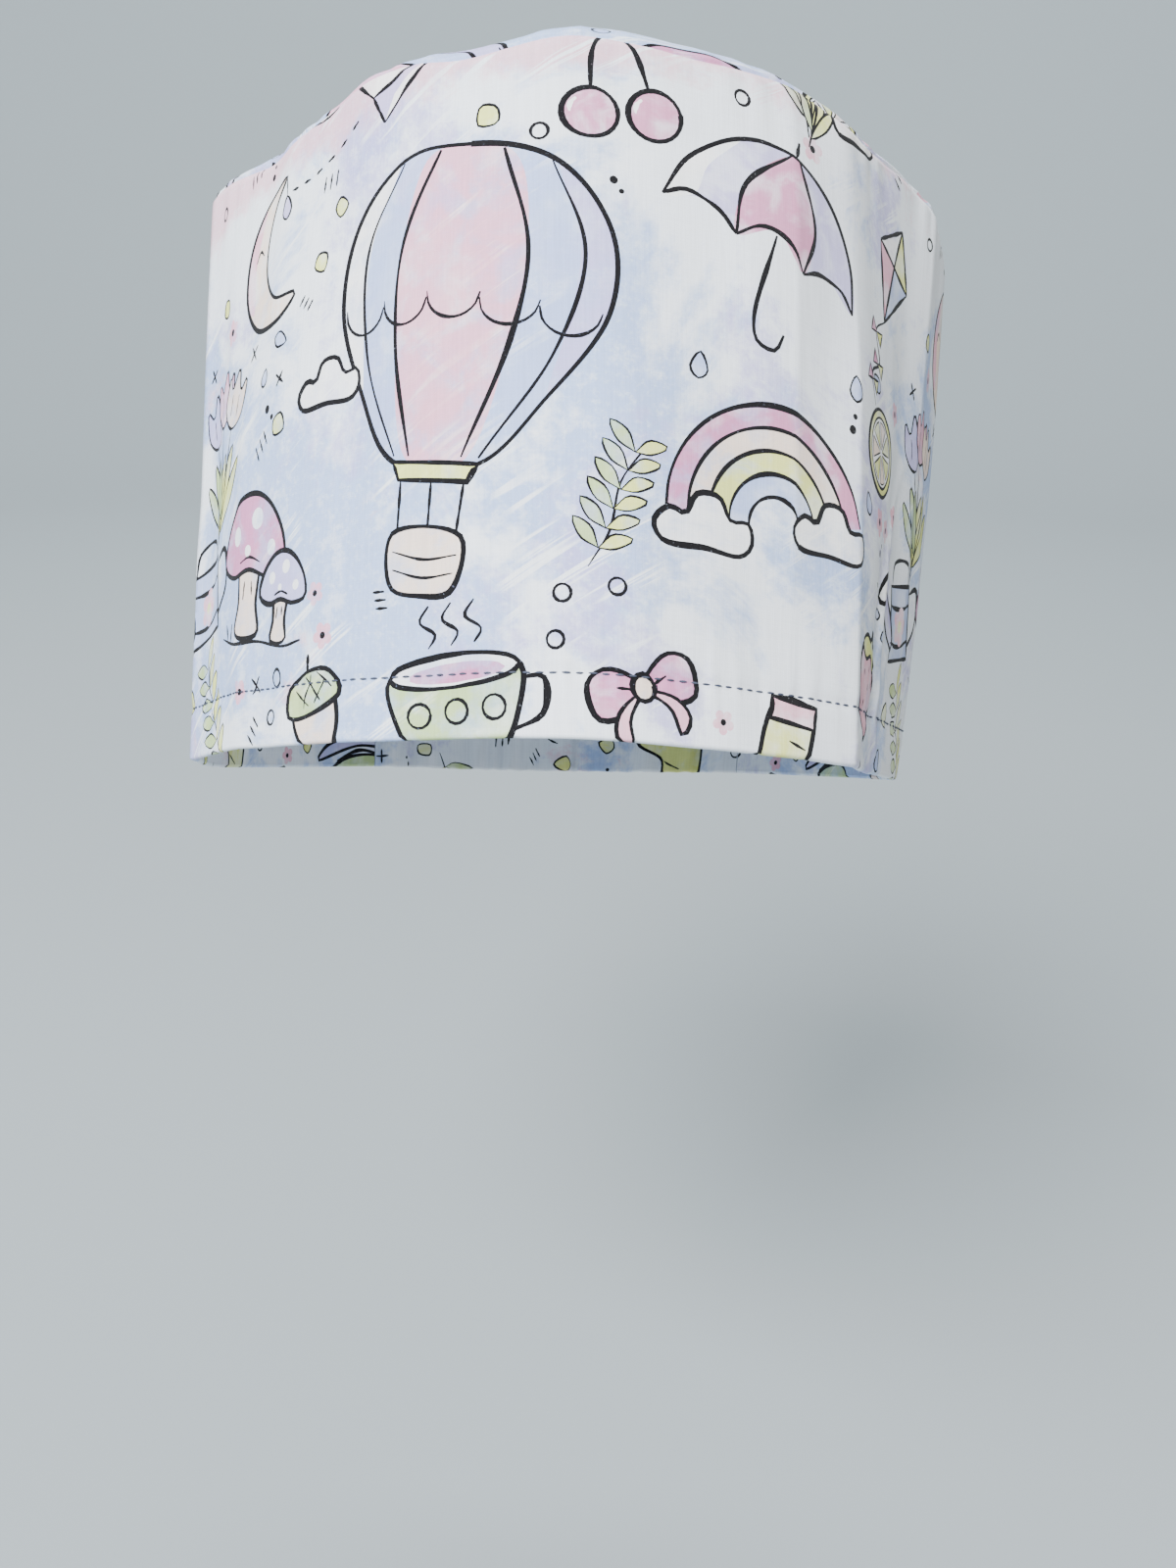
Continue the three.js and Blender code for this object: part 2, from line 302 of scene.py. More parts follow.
# Creases pressed into the cotton: flat place and height in mm, length, width, slant in degrees, rise
CREASES = (
    (84.5, 26, 60, 1.6, 90.5, 0.9),
    (81.5, 30, 56, 2.6, 90.5, -0.5),
    (88, 20, 30, 2.4, 62, 0.5),
    (80, 13, 20, 2.0, 30, -0.4),
    (96, 34, 26, 2.6, 105, 0.45),
    (70, 8, 16, 1.8, 20, 0.35),
    (118, 60, 50, 3.6, 100, 0.5),
    (134, 36, 44, 3.4, 82, -0.5),
    (150, 78, 46, 4.0, 96, 0.6),
    (172, 46, 40, 3.4, 70, -0.6),
    (-60, 9, 22, 2.0, 155, 0.3),
    (-92, 60, 40, 3.0, 96, 0.35),
    (-112, 96, 34, 3.2, 100, -0.4),
    (-128, 40, 46, 3.6, 84, 0.5),
    (-160, 66, 50, 4.0, 100, -0.6),
    (-186, 40, 34, 3.4, 110, 0.5),
    (20, 118, 30, 3.0, 5, -0.3),
    (-30, 123, 34, 3.0, 176, 0.25),
)


def creases(flat, height):
    push = np.zeros_like(flat)
    for at, up, length, width, slant, rise in CREASES:
        c, s = math.cos(math.radians(slant)), math.sin(math.radians(slant))
        along = ((flat - at) * c + (height - up) * s) / (length / 2)
        across = ((height - up) * c - (flat - at) * s + 0.12 * length * along**2) / width
        push += rise * np.exp(-(along**2) - across**2)
    return push


def slack(flat, height):
    """How far the cloth stands off the plain face, from its flat places."""
    push = creases(flat, height)
    for count, slant, phase, rise in SLACK_WAVES:
        push += rise * np.sin(2 * math.pi * (count * flat / ROUND + slant * height / 40) + phase)
    beside = height - HEM_DEPTH
    turns = 2 * math.pi * flat / ROUND
    puckers = np.sin(80 * turns + 1.7 * np.sin(23 * turns)) + 0.6 * np.sin(131 * turns)
    push += STITCH_PUCKER * puckers * np.exp(-np.abs(beside) / 5) * smoothstep(0, 4, height)
    push -= STITCH_GROOVE * np.exp(-((beside / 1.3) ** 2))
    back = smoothstep(2, 12, np.abs(flat) - min(RIGHT_SEAM, -LEFT_SEAM))
    ruffles = np.cos(turns * round(ROUND / RUFFLE_LENGTH) + 1.5 * np.sin(19 * turns) + height / 30)
    ruffles = ruffles * (0.75 + 0.25 * np.sin(31 * turns + 1))
    push += RUFFLE * ruffles * back
    return push


def seam_pull(flat, beside):
    turns = 2 * math.pi * flat / ROUND
    pulls = np.sin(57 * turns + 2.1 * np.sin(17 * turns)) * np.exp(-beside / 8) * (1 - np.exp(-beside / 2))
    return SEAM_PUCKER * pulls - SEAM_GROOVE * np.exp(-((beside / 0.9) ** 2))


def band_point(around, height, depth):
    """Points inside the band's cloth, depth behind its outer face."""
    full = at_place(FULL_HEIGHTS, around)
    level = np.minimum(height / full, 1)
    beside = full * (1 - level)
    flat = flat_at(around)
    push = slack(flat, height) + seam_pull(flat, beside) - depth
    return face_point(around, level) + cloth_normal(around, level, beside) * push[..., None]


def band_cloth(flat, height, depth, turn_radius):
    """The band's flat cloth in place: up the outside, and below the hem round its edge and up the inside."""
    around = around_at(flat)
    turned = turn_radius * (1 - math.pi)
    outside, inside = height >= turn_radius, height <= turned
    edge = ~(outside | inside)
    points = np.zeros(flat.shape + (3,))
    points[outside] = band_point(around[outside], height[outside], depth)
    climbed = turn_radius + turned - height[inside]
    points[inside] = band_point(around[inside], climbed, 2 * turn_radius - depth)
    if edge.any():
        place, low = around[edge], np.full(edge.sum(), turn_radius)
        middle = band_point(place, low, turn_radius)
        out = unit(band_point(place, low, 0.0) - middle)
        down = -unit(band_point(place, low + 1, 0.0) - band_point(place, low, 0.0))
        angle = ((turn_radius - height[edge]) / turn_radius)[:, None]
        points[edge] = middle + (out * np.cos(angle) + down * np.sin(angle)) * (turn_radius - depth)
    return points


def crown_cloth(across, along, depth):
    """The crown's flat cloth in place, from its flat places beside the peak."""
    distance = np.hypot(across, along)
    turn = np.mod(np.arctan2(along, across) - CROWN_TURNS[0], 2 * math.pi) + CROWN_TURNS[0]
    around = np.interp(turn, CROWN_TURNS, DENSE)
    reach = at_place(CROWN_REACHES, around)
    level = 2 - np.clip(distance / reach, 0, 1 - 1e-7)
    beside = reach * (level - 1)
    flat = flat_at(around)
    push = slack(flat, at_place(FULL_HEIGHTS, around)) * np.exp(-beside / 22)
    push += seam_pull(flat + 3, beside) - depth
    soft = np.sin(across / 17 + 0.6) * np.sin(along / 21 + 1.1) + 0.5 * np.sin((across - along) / 9 + 0.4)
    push += 0.8 * soft * smoothstep(0, 25, beside)
    return face_point(around, level) + cloth_normal(around, level, beside) * push[..., None]


def worn(points):
    """Turns points of the cap's own frame, in millimetres, into the worn frame, in metres."""
    c, s = math.cos(WORN_TILT), math.sin(WORN_TILT)
    x, y, z = points[..., 0], points[..., 1], points[..., 2]
    return np.stack([x, y * c + z * s, z * c - y * s], axis=-1) * MM


# The pigments of the print, in the order in which the marks name them
INK, BLUE, LILAC, PINK, ROSE, LIME, SAGE, WHITE, CREAM = range(9)
PEN = 1.05
THIN_PEN = 0.5
SLIVER = 1e-3

# Millimetres between the points of a drawn line, and how many steps a short line has at most
SHORTEST_STEP = 0.45
LONGEST_STEP = 1.4
MOST_SHORT_STEPS = 14
LONGEST_EDGE = 1.8


def oval(x, y, width, height=None, start=0, end=360, count=14):
    """Points on an oval's line, anticlockwise between two angles; the whole oval leaves out the last."""
    height = width if height is None else height
    angles = np.radians(np.linspace(start, end, count + 1))
    if end - start == 360:
        angles = angles[:-1]
    return np.stack([x + width * np.cos(angles), y + height * np.sin(angles)], axis=1)


def smooth_line(points, closed):
    """Even steps along a smooth line through the points."""
    points = np.asarray(points, float)
    if closed:
        spline = closed_spline(points)
    else:
        ends = np.vstack([2 * points[-1] - points[-2], 2 * points[0] - points[1]])
        spline = closed_spline(np.vstack([points, ends]))[: len(points) - 1]
    shares = (np.arange(12) / 12)[None, :, None]
    start, leave, square, cube = (spline[:, k : k + 1] for k in range(4))
    fine = (start + shares * (leave + shares * (square + shares * cube))).reshape(-1, 2)
    fine = np.vstack([fine, fine[:1] if closed else points[-1:]])
    run = np.concatenate([[0], np.cumsum(lengths(fine))])
    step = min(LONGEST_STEP, max(SHORTEST_STEP, run[-1] / MOST_SHORT_STEPS))
    even = np.linspace(0, run[-1], max(int(run[-1] / step), 3) + 1)
    line = np.stack([np.interp(even, run, fine[:, k]) for k in range(2)], axis=1)
    return line[:-1] if closed else line


def stepped_line(points, closed):
    """The same corners, with points along the long edges so that they follow the bent cloth."""
    ends = np.roll(points, -1, axis=0) if closed else points[1:]
    steps = []
    for start, end in zip(points, ends):
        count = math.ceil(np.linalg.norm(end - start) / LONGEST_EDGE)
        steps.append(start + (end - start) * np.arange(count)[:, None] / count)
    return np.vstack(steps if closed else steps + [points[-1:]])


def signed_area(points):
    x, y = points[:, 0], points[:, 1]
    return 0.5 * float(np.sum(x * np.roll(y, -1) - np.roll(x, -1) * y))


class Brush:
    """Paints fills and inked lines on flat cloth, in millimetres, round one place, turned and sized."""

    def __init__(self, marks, at=(0, 0), turn=0.0, size=1.0, pen=PEN):
        c, s = math.cos(math.radians(turn)) * size, math.sin(math.radians(turn)) * size
        self.marks, self.pen = marks, pen
        self.at, self.turn = np.array(at, float), np.array([[c, s], [-s, c]])

    def laid(self, points, closed, smooth):
        points = np.asarray(points, float) @ self.turn + self.at
        return smooth_line(points, closed) if smooth else stepped_line(points, closed)

    def fill(self, points, colour, smooth=True):
        outline = self.laid(points, True, smooth)
        self.marks.append((outline if signed_area(outline) > 0 else outline[::-1], colour))

    def line(self, points, closed=False, smooth=True, pen=None, colour=INK):
        """A pen line with a little pressure in it, that thins out at its free ends."""
        path = self.laid(points, closed, smooth)
        if closed:
            path = np.vstack([path, path[:1]])
        if len(path) < 2:
            return
        ahead = np.vstack([path[1:], path[1:2] if closed else path[-1:]])
        behind = np.vstack([path[-2:-1] if closed else path[:1], path[:-1]])
        along = unit(ahead - behind)
        side = np.stack([-along[:, 1], along[:, 0]], axis=1)
        share = np.linspace(0, 1, len(path))
        pressure = 1 + 0.2 * np.sin(share * 9 + path[0, 0]) + 0.1 * np.sin(share * 23 + path[0, 1])
        width = (pen or self.pen) * pressure
        if not closed:
            width = width * (0.45 + 0.55 * np.sin(math.pi * share) ** 0.6)
        left, right = path + side * width[:, None] / 2, path - side * width[:, None] / 2
        for k in range(len(path) - 1):
            for three in ([right[k], right[k + 1], left[k + 1]], [right[k], left[k + 1], left[k]]):
                three = np.array(three)
                if signed_area(three) > SLIVER:
                    self.marks.append((three, colour))

    def shape(self, points, colour, pen=None, smooth=True):
        self.fill(points, colour, smooth)
        self.line(points, True, smooth, pen)

    def dot(self, x, y, radius, colour=INK):
        self.fill(oval(x, y, radius, count=8), colour)

    def lines(self, *paths, pen=None):
        for path in paths:
            self.line(path, pen=pen)


def balloon(b):
    envelope = [(0, 38), (15, 35), (25, 24), (26, 10), (18, -5), (8, -17)]
    envelope += [(-x, y) for x, y in envelope[:0:-1]]
    b.fill(envelope, BLUE)
    b.fill([(0, 38), (8, 36), (12, 20), (11, 4), (5, -17), (-5, -17), (-11, 4), (-12, 20), (-8, 36)], PINK)
    b.fill([(-15, 35), (-25, 24), (-26, 10), (-18, -5), (-20, 8), (-20, 22)], WHITE)
    b.fill([(15, 35), (25, 24), (26, 10), (18, -5), (20, 9), (20, 22)], LILAC)
    b.line(envelope, True)
    b.lines([(-6, 37), (-12, 20), (-11, 4), (-5, -16)], [(6, 37), (12, 20), (11, 4), (5, -16)])
    b.lines([(-14, 35), (-21, 20), (-18, 2), (-8, -16)], [(14, 35), (21, 20), (18, 2), (8, -16)], pen=0.8)
    for k in range(5):
        b.line(oval(-20 + 10 * k, 12 - abs(k - 2), 5, 4.5, 180, 360, 6), pen=0.7)
    b.shape([(-8, -17), (8, -17), (6.5, -20), (-6.5, -20)], LIME, smooth=False)
    b.lines([(-6, -20), (-5.5, -29)], [(6, -20), (5.5, -29)], [(0, -20), (0.2, -29)], pen=0.7)
    b.shape([(-6.5, -29), (6.5, -29), (5.5, -38), (0, -39), (-5.5, -38)], CREAM)
    b.lines([(-6, -32), (0, -33), (6, -32)], [(-5.6, -35), (0, -36), (5.6, -35)], pen=0.55)


def umbrella(b):
    canopy = [(-24, 0), (-21, 10), (-12, 19), (0, 22), (12, 19), (21, 10), (24, 0)]
    scallops = [(16, 3), (12, 2), (8, -1), (4, 3), (0, 4), (-4, 3), (-8, -1), (-12, 2), (-16, 3)]
    b.fill(canopy + scallops, LILAC)
    b.fill([(-8, -1), (-9, 10), (-4, 19), (0, 22), (4, 19), (9, 10), (8, -1), (0, 4)], ROSE)
    b.fill([(-24, 0), (-21, 10), (-12, 19), (-17, 10), (-18, 3)], WHITE)
    b.line(canopy)
    b.lines([(-24, 0), (-20, 3), (-16, 3), (-12, 2), (-8, -1)], [(8, -1), (12, 2), (16, 3), (20, 3), (24, 0)])
    b.lines([(-8, -1), (-4, 3), (0, 4), (4, 3), (8, -1)])
    b.lines([(-8, -1), (-9, 10), (-1, 22)], [(8, -1), (9, 10), (1, 22)])
    b.lines([(0, 22), (0, 26)], [(0, 3), (0, -16), (2, -20), (6, -20), (7, -16)])


def cloud(b):
    left = [(-11, -4), (-13, 0), (-9, 4), (-5, 3), (-2, 8)]
    right = [(4, 8), (7, 3), (12, 3), (13, -2), (10, -5), (0, -4.5)]
    b.shape(left + right, WHITE)


def rainbow(b):
    for radius, colour in ((24, ROSE), (19.5, CREAM), (15, LIME), (10.5, BLUE)):
        outer = oval(0, 0, radius, radius, 4, 176, 14)
        inner = oval(0, 0, radius - 4.5, radius - 4.5, 4, 176, 12)[::-1]
        b.fill(np.vstack([outer, inner]), colour, smooth=False)
    for radius in (24, 19.5, 15, 10.5, 6):
        b.line(oval(0, 0, radius, radius, 4, 176, 10), pen=0.9 if radius < 24 else None)
    for x in (-16, 15):
        cloud(Brush(b.marks, b.at + np.array([x, -1]) @ b.turn, size=0.82 * abs(b.turn[0, 0]), pen=b.pen))


def moon(b):
    back = [(6, 17), (-6, 15), (-14, 6), (-15, -6), (-8, -15)]
    crescent = back + [(4, -17), (11, -13), (2, -11), (-4, -3), (-4, 6), (0, 13)]
    b.shape(crescent, CREAM)
    b.fill([(-6, 15), (-14, 6), (-15, -6), (-11, -10), (-11, 2), (-8, 10)], PINK)
    b.line(crescent, True)
    b.lines([(-11, 3), (-9, 5.2), (-7, 3.4)], pen=0.6)
    b.lines([(6, 17), (6.5, 12)], pen=0.5)
    drop = [(6.5, 12), (8.6, 8.2), (6.5, 6.2), (4.4, 8.2)]
    b.shape(drop, LILAC, 0.6)


def mushrooms(b):
    turned = math.degrees(math.atan2(b.turn[0, 1], b.turn[0, 0]))
    for x, y, size, cap in ((-4, 0, 1.0, ROSE), (11, -7, 0.62, LILAC)):
        at = b.at + np.array([x, y]) @ b.turn
        m = Brush(b.marks, at, turned, size * math.hypot(*b.turn[0]), b.pen)
        m.shape([(-4, 1), (4, 1), (4, -8), (5.5, -14), (0, -15.5), (-5.5, -14), (-4, -8)], CREAM)
        dome = [(-15, 1), (-13, 9), (-6, 15), (1, 16), (8, 13), (14, 6), (15, 0)]
        m.shape(dome + [(8, -2), (0, -0.5), (-8, -2)], cap)
        for dx, dy, radius in ((-7, 7, 2.2), (2, 10.5, 2.4), (9, 4, 1.8), (-1, 3.6, 1.3)):
            m.dot(dx, dy, radius, WHITE)
        m.lines([(-4.6, 1), (0, 2.2), (4.6, 1)], [(-1.5, -3), (-1.8, -7)], [(1.5, -3), (1.9, -6)], pen=0.55)
    b.line([(-18, -15), (-10, -16.5), (2, -16), (14, -17.2), (20, -16)], pen=0.8)
    b.lines([(-14, -15.5), (-15.5, -12)], [(-12, -16), (-11.5, -12)], pen=0.8)


def teacup(b):
    b.line([(13, 4), (18.5, 4), (18, -3), (11, -6)], pen=1.3)
    b.shape([(-14, 7), (-13, -2), (-9, -9), (0, -11), (9, -9), (13, -2), (14, 7), (0, 9.5)], SAGE)
    b.shape(oval(0, 7, 14, 3.2), WHITE)
    b.fill(oval(0.5, 6.6, 10.5, 1.9), ROSE)
    b.lines([(-9, -10), (0, -12.5), (9, -10)])
    b.shape([(-17, -11), (0, -14), (17, -11), (12, -15.5), (0, -17), (-12, -15.5)], LILAC)
    for x in (-5, 0, 5):
        b.line([(x, 12), (x + 1.8, 14.5), (x - 1.4, 17.5), (x + 0.8, 20.5)], pen=0.7)
    for x in (-8, 0, 8):
        b.line(oval(x, -1, 2.4, 2.4), True, pen=0.6)


def cherries(b):
    b.lines([(-6, -5), (-3, 5), (3, 12)], [(7, -7), (6, 3), (3, 12)])
    b.shape([(3, 12), (9, 15), (15, 12), (9, 8.5)], LIME)
    b.line([(4, 12), (9, 12.2), (13, 12)], pen=0.55)
    for x, y in ((-7, -9), (7, -11)):
        b.shape(oval(x, y, 6, 5.6), ROSE)
        b.line(oval(x - 1, y + 0.8, 3.2, 3, 110, 180, 4), pen=0.9, colour=WHITE)


def strawberry(b):
    b.shape([(0, -12), (-7, -5), (-9, 3), (-5, 8), (0, 7), (5, 8), (9, 3), (7, -5)], PINK)
    b.shape([(0, 6), (-4, 4), (-8, 6), (-5, 9), (-1, 9), (0, 12), (1, 9), (5, 9), (8, 6), (4, 4)], LIME)
    for x, y in ((-4, 1), (0, -1), (4, 1), (-2, -5), (2, -5), (0, 3)):
        b.line([(x, y + 0.8), (x, y - 0.6)], pen=0.6)


def kite(b):
    top, right, bottom, left = (0, 16), (10, 4), (0, -14), (-10, 4)
    b.fill([top, right, (0, 4)], LIME, False)
    b.fill([right, bottom, (0, 4)], BLUE, False)
    b.fill([bottom, left, (0, 4)], PINK, False)
    b.fill([left, top, (0, 4)], WHITE, False)
    for path in ([top, right], [right, bottom], [bottom, left], [left, top], [top, bottom], [left, right]):
        b.line([path[0], tuple(np.mean(path, axis=0)), path[1]])
    tail = [(0, -14), (-4, -20), (1, -26), (-3, -32), (2, -38)]
    b.line(tail, pen=0.7)
    for x, y in ((-3.4, -20), (0.2, -27), (-1.6, -33)):
        b.shape([(x, y), (x - 3.4, y + 2), (x - 3.4, y - 2)], ROSE, 0.6, False)
        b.shape([(x, y), (x + 3.4, y + 2), (x + 3.4, y - 2)], LIME, 0.6, False)


def plane(b):
    nose, tail, middle, keel = (16, 4), (-13, 9), (-6, 0), (-4, -7)
    b.fill([nose, tail, middle], WHITE, False)
    b.fill([nose, middle, keel], LILAC, False)
    b.fill([nose, keel, (0, -2)], WHITE, False)
    for path in ([nose, tail], [tail, middle], [middle, nose], [middle, keel], [keel, nose]):
        b.line([path[0], tuple(np.mean(path, axis=0)), path[1]], pen=0.9)
    for k in range(6):
        angle = 0.5 * k
        start, end = (-2 - 3 * math.sin(turn) for turn in (angle, angle + 0.25))
        b.line([(-12 - 5 * k, start), (-14.6 - 5 * k, end)], pen=0.7)


def tulip(b, colour):
    b.lines([(0, -24), (1, -10), (0, 4)], pen=0.7)
    b.shape([(0, 4), (-6, 8), (-6, 16), (-3, 13), (0, 18), (3, 13), (6, 16), (6, 8)], colour, 0.7)
    b.shape([(0.6, -20), (7, -12), (9, -2), (4, -8)], LIME, 0.6)
    b.shape([(0.4, -17), (-6, -11), (-8, -3), (-3, -8)], SAGE, 0.6)
    b.lines([(-2, 7), (-2.4, 12)], [(2, 7), (2.2, 12)], pen=0.45)


def tulips(b):
    for x, turn, colour in ((-8, 12, LILAC), (0, 0, PINK), (8, -14, CREAM)):
        at = b.at + np.array([x * 0.7, -abs(x) * 0.3]) @ b.turn
        tulip(Brush(b.marks, at, turn, math.hypot(*b.turn[0]), b.pen), colour)


def sprig(b):
    b.line([(0, -20), (2, -8), (0, 6), (3, 19)], pen=THIN_PEN)
    for k in range(6):
        y = -14 + 6 * k
        for side in (-1, 1):
            stem, tip = (0.8, y), (side * 9, y + 6)
            b.fill([stem, (side * 5, y + 1.5), tip, (side * 3.6, y + 5)], SAGE if side < 0 else LIME)
            b.line([stem, (side * 5, y + 1.2), tip, (side * 3.4, y + 5.2), stem], pen=0.42)


def can(b):
    b.line([(12, 7), (20, 8), (21, -2), (12, -8)], pen=1.4)
    b.shape([(-11, 9), (11, 9), (13, -11), (-13, -11)], BLUE, smooth=False)
    b.shape([(-12, -8), (-23, 7), (-20, 9), (-11.5, -1)], LILAC)
    b.shape([(-26, 6), (-19, 12), (-18, 9), (-24, 4)], WHITE)
    b.line([(-9, 9), (-6, 15), (6, 15), (9, 9)])
    b.lines([(-12, 4), (0, 2.8), (12, 4)], [(-12.6, -6), (0, -7.4), (12.6, -6)])
    for x, y in ((-27, 1), (-30, -3), (-25, -5)):
        drop = [(x, y + 2), (x + 1.1, y), (x, y - 1), (x - 1.1, y)]
        b.fill(drop, BLUE)
        b.line(drop, True, pen=0.4)
    for x, y in oval(0, -2, 3.4, count=5):
        b.dot(x, y, 2.2, PINK)
    b.dot(0, -2, 1.7, LIME)


def lemon(b):
    b.shape(oval(0, 0, 11), LIME)
    b.fill(oval(0, 0, 9), WHITE)
    for k in range(7):
        start = 360 * k / 7
        wedge = [(0.9 * math.cos(math.radians(start + 25)), 0.9 * math.sin(math.radians(start + 25)))]
        wedge += [tuple(p) for p in oval(0, 0, 7.8, 7.8, start + 6, start + 45, 3)]
        b.fill(wedge, CREAM if k % 2 else LIME, False)
        b.line(wedge, True, False, pen=0.4)
    b.line(oval(0, 0, 8.9), True, pen=0.6)


def bow(b):
    for side in (-1, 1):
        b.shape([(0, 0), (side * 7, 6), (side * 12, 4), (side * 12, -4), (side * 7, -5)], ROSE)
        b.shape([(side, -1), (side * 5, -6), (side * 6, -12), (side * 9, -9), (side * 7, -4)], PINK, 0.8)
        b.line([(side * 2, 0), (side * 6, 1.4)], pen=0.6)
    b.shape(oval(0, 0, 2.6, 3), CREAM)


def acorn(b):
    b.shape([(-7, 2), (-6, -6), (0, -12), (6, -6), (7, 2)], CREAM)
    b.shape([(-9, 2), (-7, 8), (0, 10), (7, 8), (9, 2), (0, 0)], SAGE)
    b.line([(0, 10), (1, 14)])
    b.lines([(-5, 7), (-1, 2)], [(-1, 9), (3, 2)], [(3, 9), (7, 4)], pen=0.45)
    b.lines([(5, 7), (1, 2)], [(1, 9), (-3, 2)], pen=0.45)


def boot(b):
    b.shape([(-8, 16), (3, 16), (4, 0), (13, -4), (15, -11), (-8, -12)], LIME)
    b.shape([(-10, -11), (16, -11), (16, -15), (-10, -15)], WHITE, smooth=False)
    b.shape([(-9, 17), (4, 17), (4, 12), (-9, 12)], PINK, smooth=False)
    b.lines([(-3, 8), (2, 7)], [(-4, 2), (3, 0)], pen=0.6)


MOTIFS = {
    "balloon": balloon, "umbrella": umbrella, "rainbow": rainbow, "moon": moon, "mushrooms": mushrooms,
    "teacup": teacup, "cherries": cherries, "strawberry": strawberry, "kite": kite, "plane": plane,
    "tulips": tulips, "sprig": sprig, "watering can": can, "lemon": lemon, "bow": bow, "acorn": acorn,
    "boot": boot, "cloud": cloud,
}

# One repeat of the print, in millimetres: motif, place across and up, turn in degrees, size, and the
# radius that it keeps clear
REPEAT_WIDTH, REPEAT_HEIGHT = 222.0, 168.0
REPEAT = (
    ("balloon", 84, 84, -7, 1.16, 42),
    ("umbrella", 149, 112, -16, 1.0, 24),
    ("rainbow", 150, 56, 6, 1.0, 27),
    ("moon", 26, 118, 8, 0.95, 17),
    ("mushrooms", 30, 50, -4, 0.98, 20),
    ("teacup", 86, 18, 5, 0.95, 19),
    ("cherries", 116, 142, 14, 0.9, 15),
    ("plane", 68, 144, 16, 0.95, 18),
    ("strawberry", 184, 30, -14, 1.0, 12),
    ("kite", 196, 122, -24, 0.92, 22),
    ("tulips", 2, 82, 6, 0.95, 18),
    ("watering can", 216, 48, 8, 0.84, 20),
    ("lemon", 188, 80, 0, 0.86, 11),
    ("bow", 122, 22, 18, 0.84, 11),
    ("cloud", 52, 84, 4, 0.72, 9),
    ("acorn", 54, 18, 16, 0.86, 11),
    ("sprig", 116, 56, -20, 0.66, 12),
    ("boot", 156, 8, -8, 0.86, 15),
    ("cloud", 38, 148, -4, 0.8, 11),
    ("sprig", 4, 20, 30, 0.8, 15),
    ("tulips", 160, 154, -20, 0.6, 13),
    ("cloud", 176, 148, 6, 0.7, 10),
)


def speckle(b, kind):
    """The small marks between the motifs."""
    if kind == 0:
        b.lines([(-1.6, -1.6), (1.6, 1.6)], [(-1.6, 1.6), (1.6, -1.6)], pen=0.7)
    elif kind == 1:
        b.line(oval(0, 0, 1.7, count=8), True, pen=0.6)
    elif kind == 2:
        b.shape([(0, 3), (1.7, -0.4), (0, -2), (-1.7, -0.4)], BLUE, 0.5)
    elif kind == 3:
        for x in (-2, 0, 2):
            b.line([(x, -1.6), (x + 0.8, 1.6)], pen=0.6)
    elif kind == 4:
        for x, y in oval(0, 0, 1.8, count=5):
            b.dot(x, y, 1.15, PINK)
        b.dot(0, 0, 0.8, INK)
    elif kind == 5:
        b.dot(0, 0, 0.9)
        b.dot(2.6, 0.8, 0.6)
    else:
        b.shape([(0, -2.4), (2.6, 0.6), (0, 2.6), (-2.6, 0.6)], LIME, 0.5)


# The small marks: how often one is tried, its own radius and the room that it leaves round others
SPECKLE_SEED = 11
SPECKLE_TRIES = 900
SPECKLE_KINDS = 7
SPECKLE_CLEAR = 3.0
SPECKLE_ROOM = 3.5


def one_repeat():
    """The marks of one repeat, with the small marks scattered where the motifs leave room."""
    marks = []
    chance = random.Random(SPECKLE_SEED)
    taken = [(x, y, clear) for _, x, y, _, _, clear in REPEAT]
    for _ in range(SPECKLE_TRIES):
        x, y = chance.uniform(0, REPEAT_WIDTH), chance.uniform(0, REPEAT_HEIGHT)
        across = [abs((x - a + REPEAT_WIDTH / 2) % REPEAT_WIDTH - REPEAT_WIDTH / 2) for a, _, _ in taken]
        up = [abs((y - b + REPEAT_HEIGHT / 2) % REPEAT_HEIGHT - REPEAT_HEIGHT / 2) for _, b, _ in taken]
        if all(math.hypot(dx, dy) > clear + SPECKLE_ROOM for dx, dy, (_, _, clear) in zip(across, up, taken)):
            brush = Brush(marks, (x, y), chance.uniform(0, 360), chance.uniform(0.8, 1.15))
            speckle(brush, len(taken) % SPECKLE_KINDS)
            taken.append((x, y, SPECKLE_CLEAR))
    for name, x, y, turn, size, _ in REPEAT:
        MOTIFS[name](Brush(marks, (x, y), turn, size))
    return marks


def print_over(outline, start, turn=0.0):
    """Repeats of the print, turned, over a flat cut of cloth, from the place where one of them starts."""
    c, s = math.cos(math.radians(turn)), math.sin(math.radians(turn))
    spin = np.array([[c, s], [-s, c]])
    margin = 2
    low, high = outline.min(axis=0) - margin, outline.max(axis=0) + margin
    corners = np.array([low, (high[0], low[1]), high, (low[0], high[1])])
    tiles = ((corners - np.array(start)) @ spin.T) / np.array([REPEAT_WIDTH, REPEAT_HEIGHT])
    first, last = np.floor(tiles.min(axis=0)).astype(int) - 1, np.ceil(tiles.max(axis=0)).astype(int) + 1
    repeat = one_repeat()
    laid = []
    for i in range(first[0], last[0] + 1):
        for k in range(first[1], last[1] + 1):
            shift = np.array([i * REPEAT_WIDTH, k * REPEAT_HEIGHT])
            for points, colour in repeat:
                moved = (points + shift) @ spin + np.array(start)
                if (moved.max(axis=0) > low).all() and (moved.min(axis=0) < high).all():
                    laid.append((moved, colour))
    return laid


def linear(hex_colour):
    """A hex colour as the linear values that Blender mixes."""
    values = [int(hex_colour[k : k + 2], 16) / 255 for k in (1, 3, 5)]
    return tuple(v / 12.92 if v <= 0.04045 else ((v + 0.055) / 1.055) ** 2.4 for v in values)


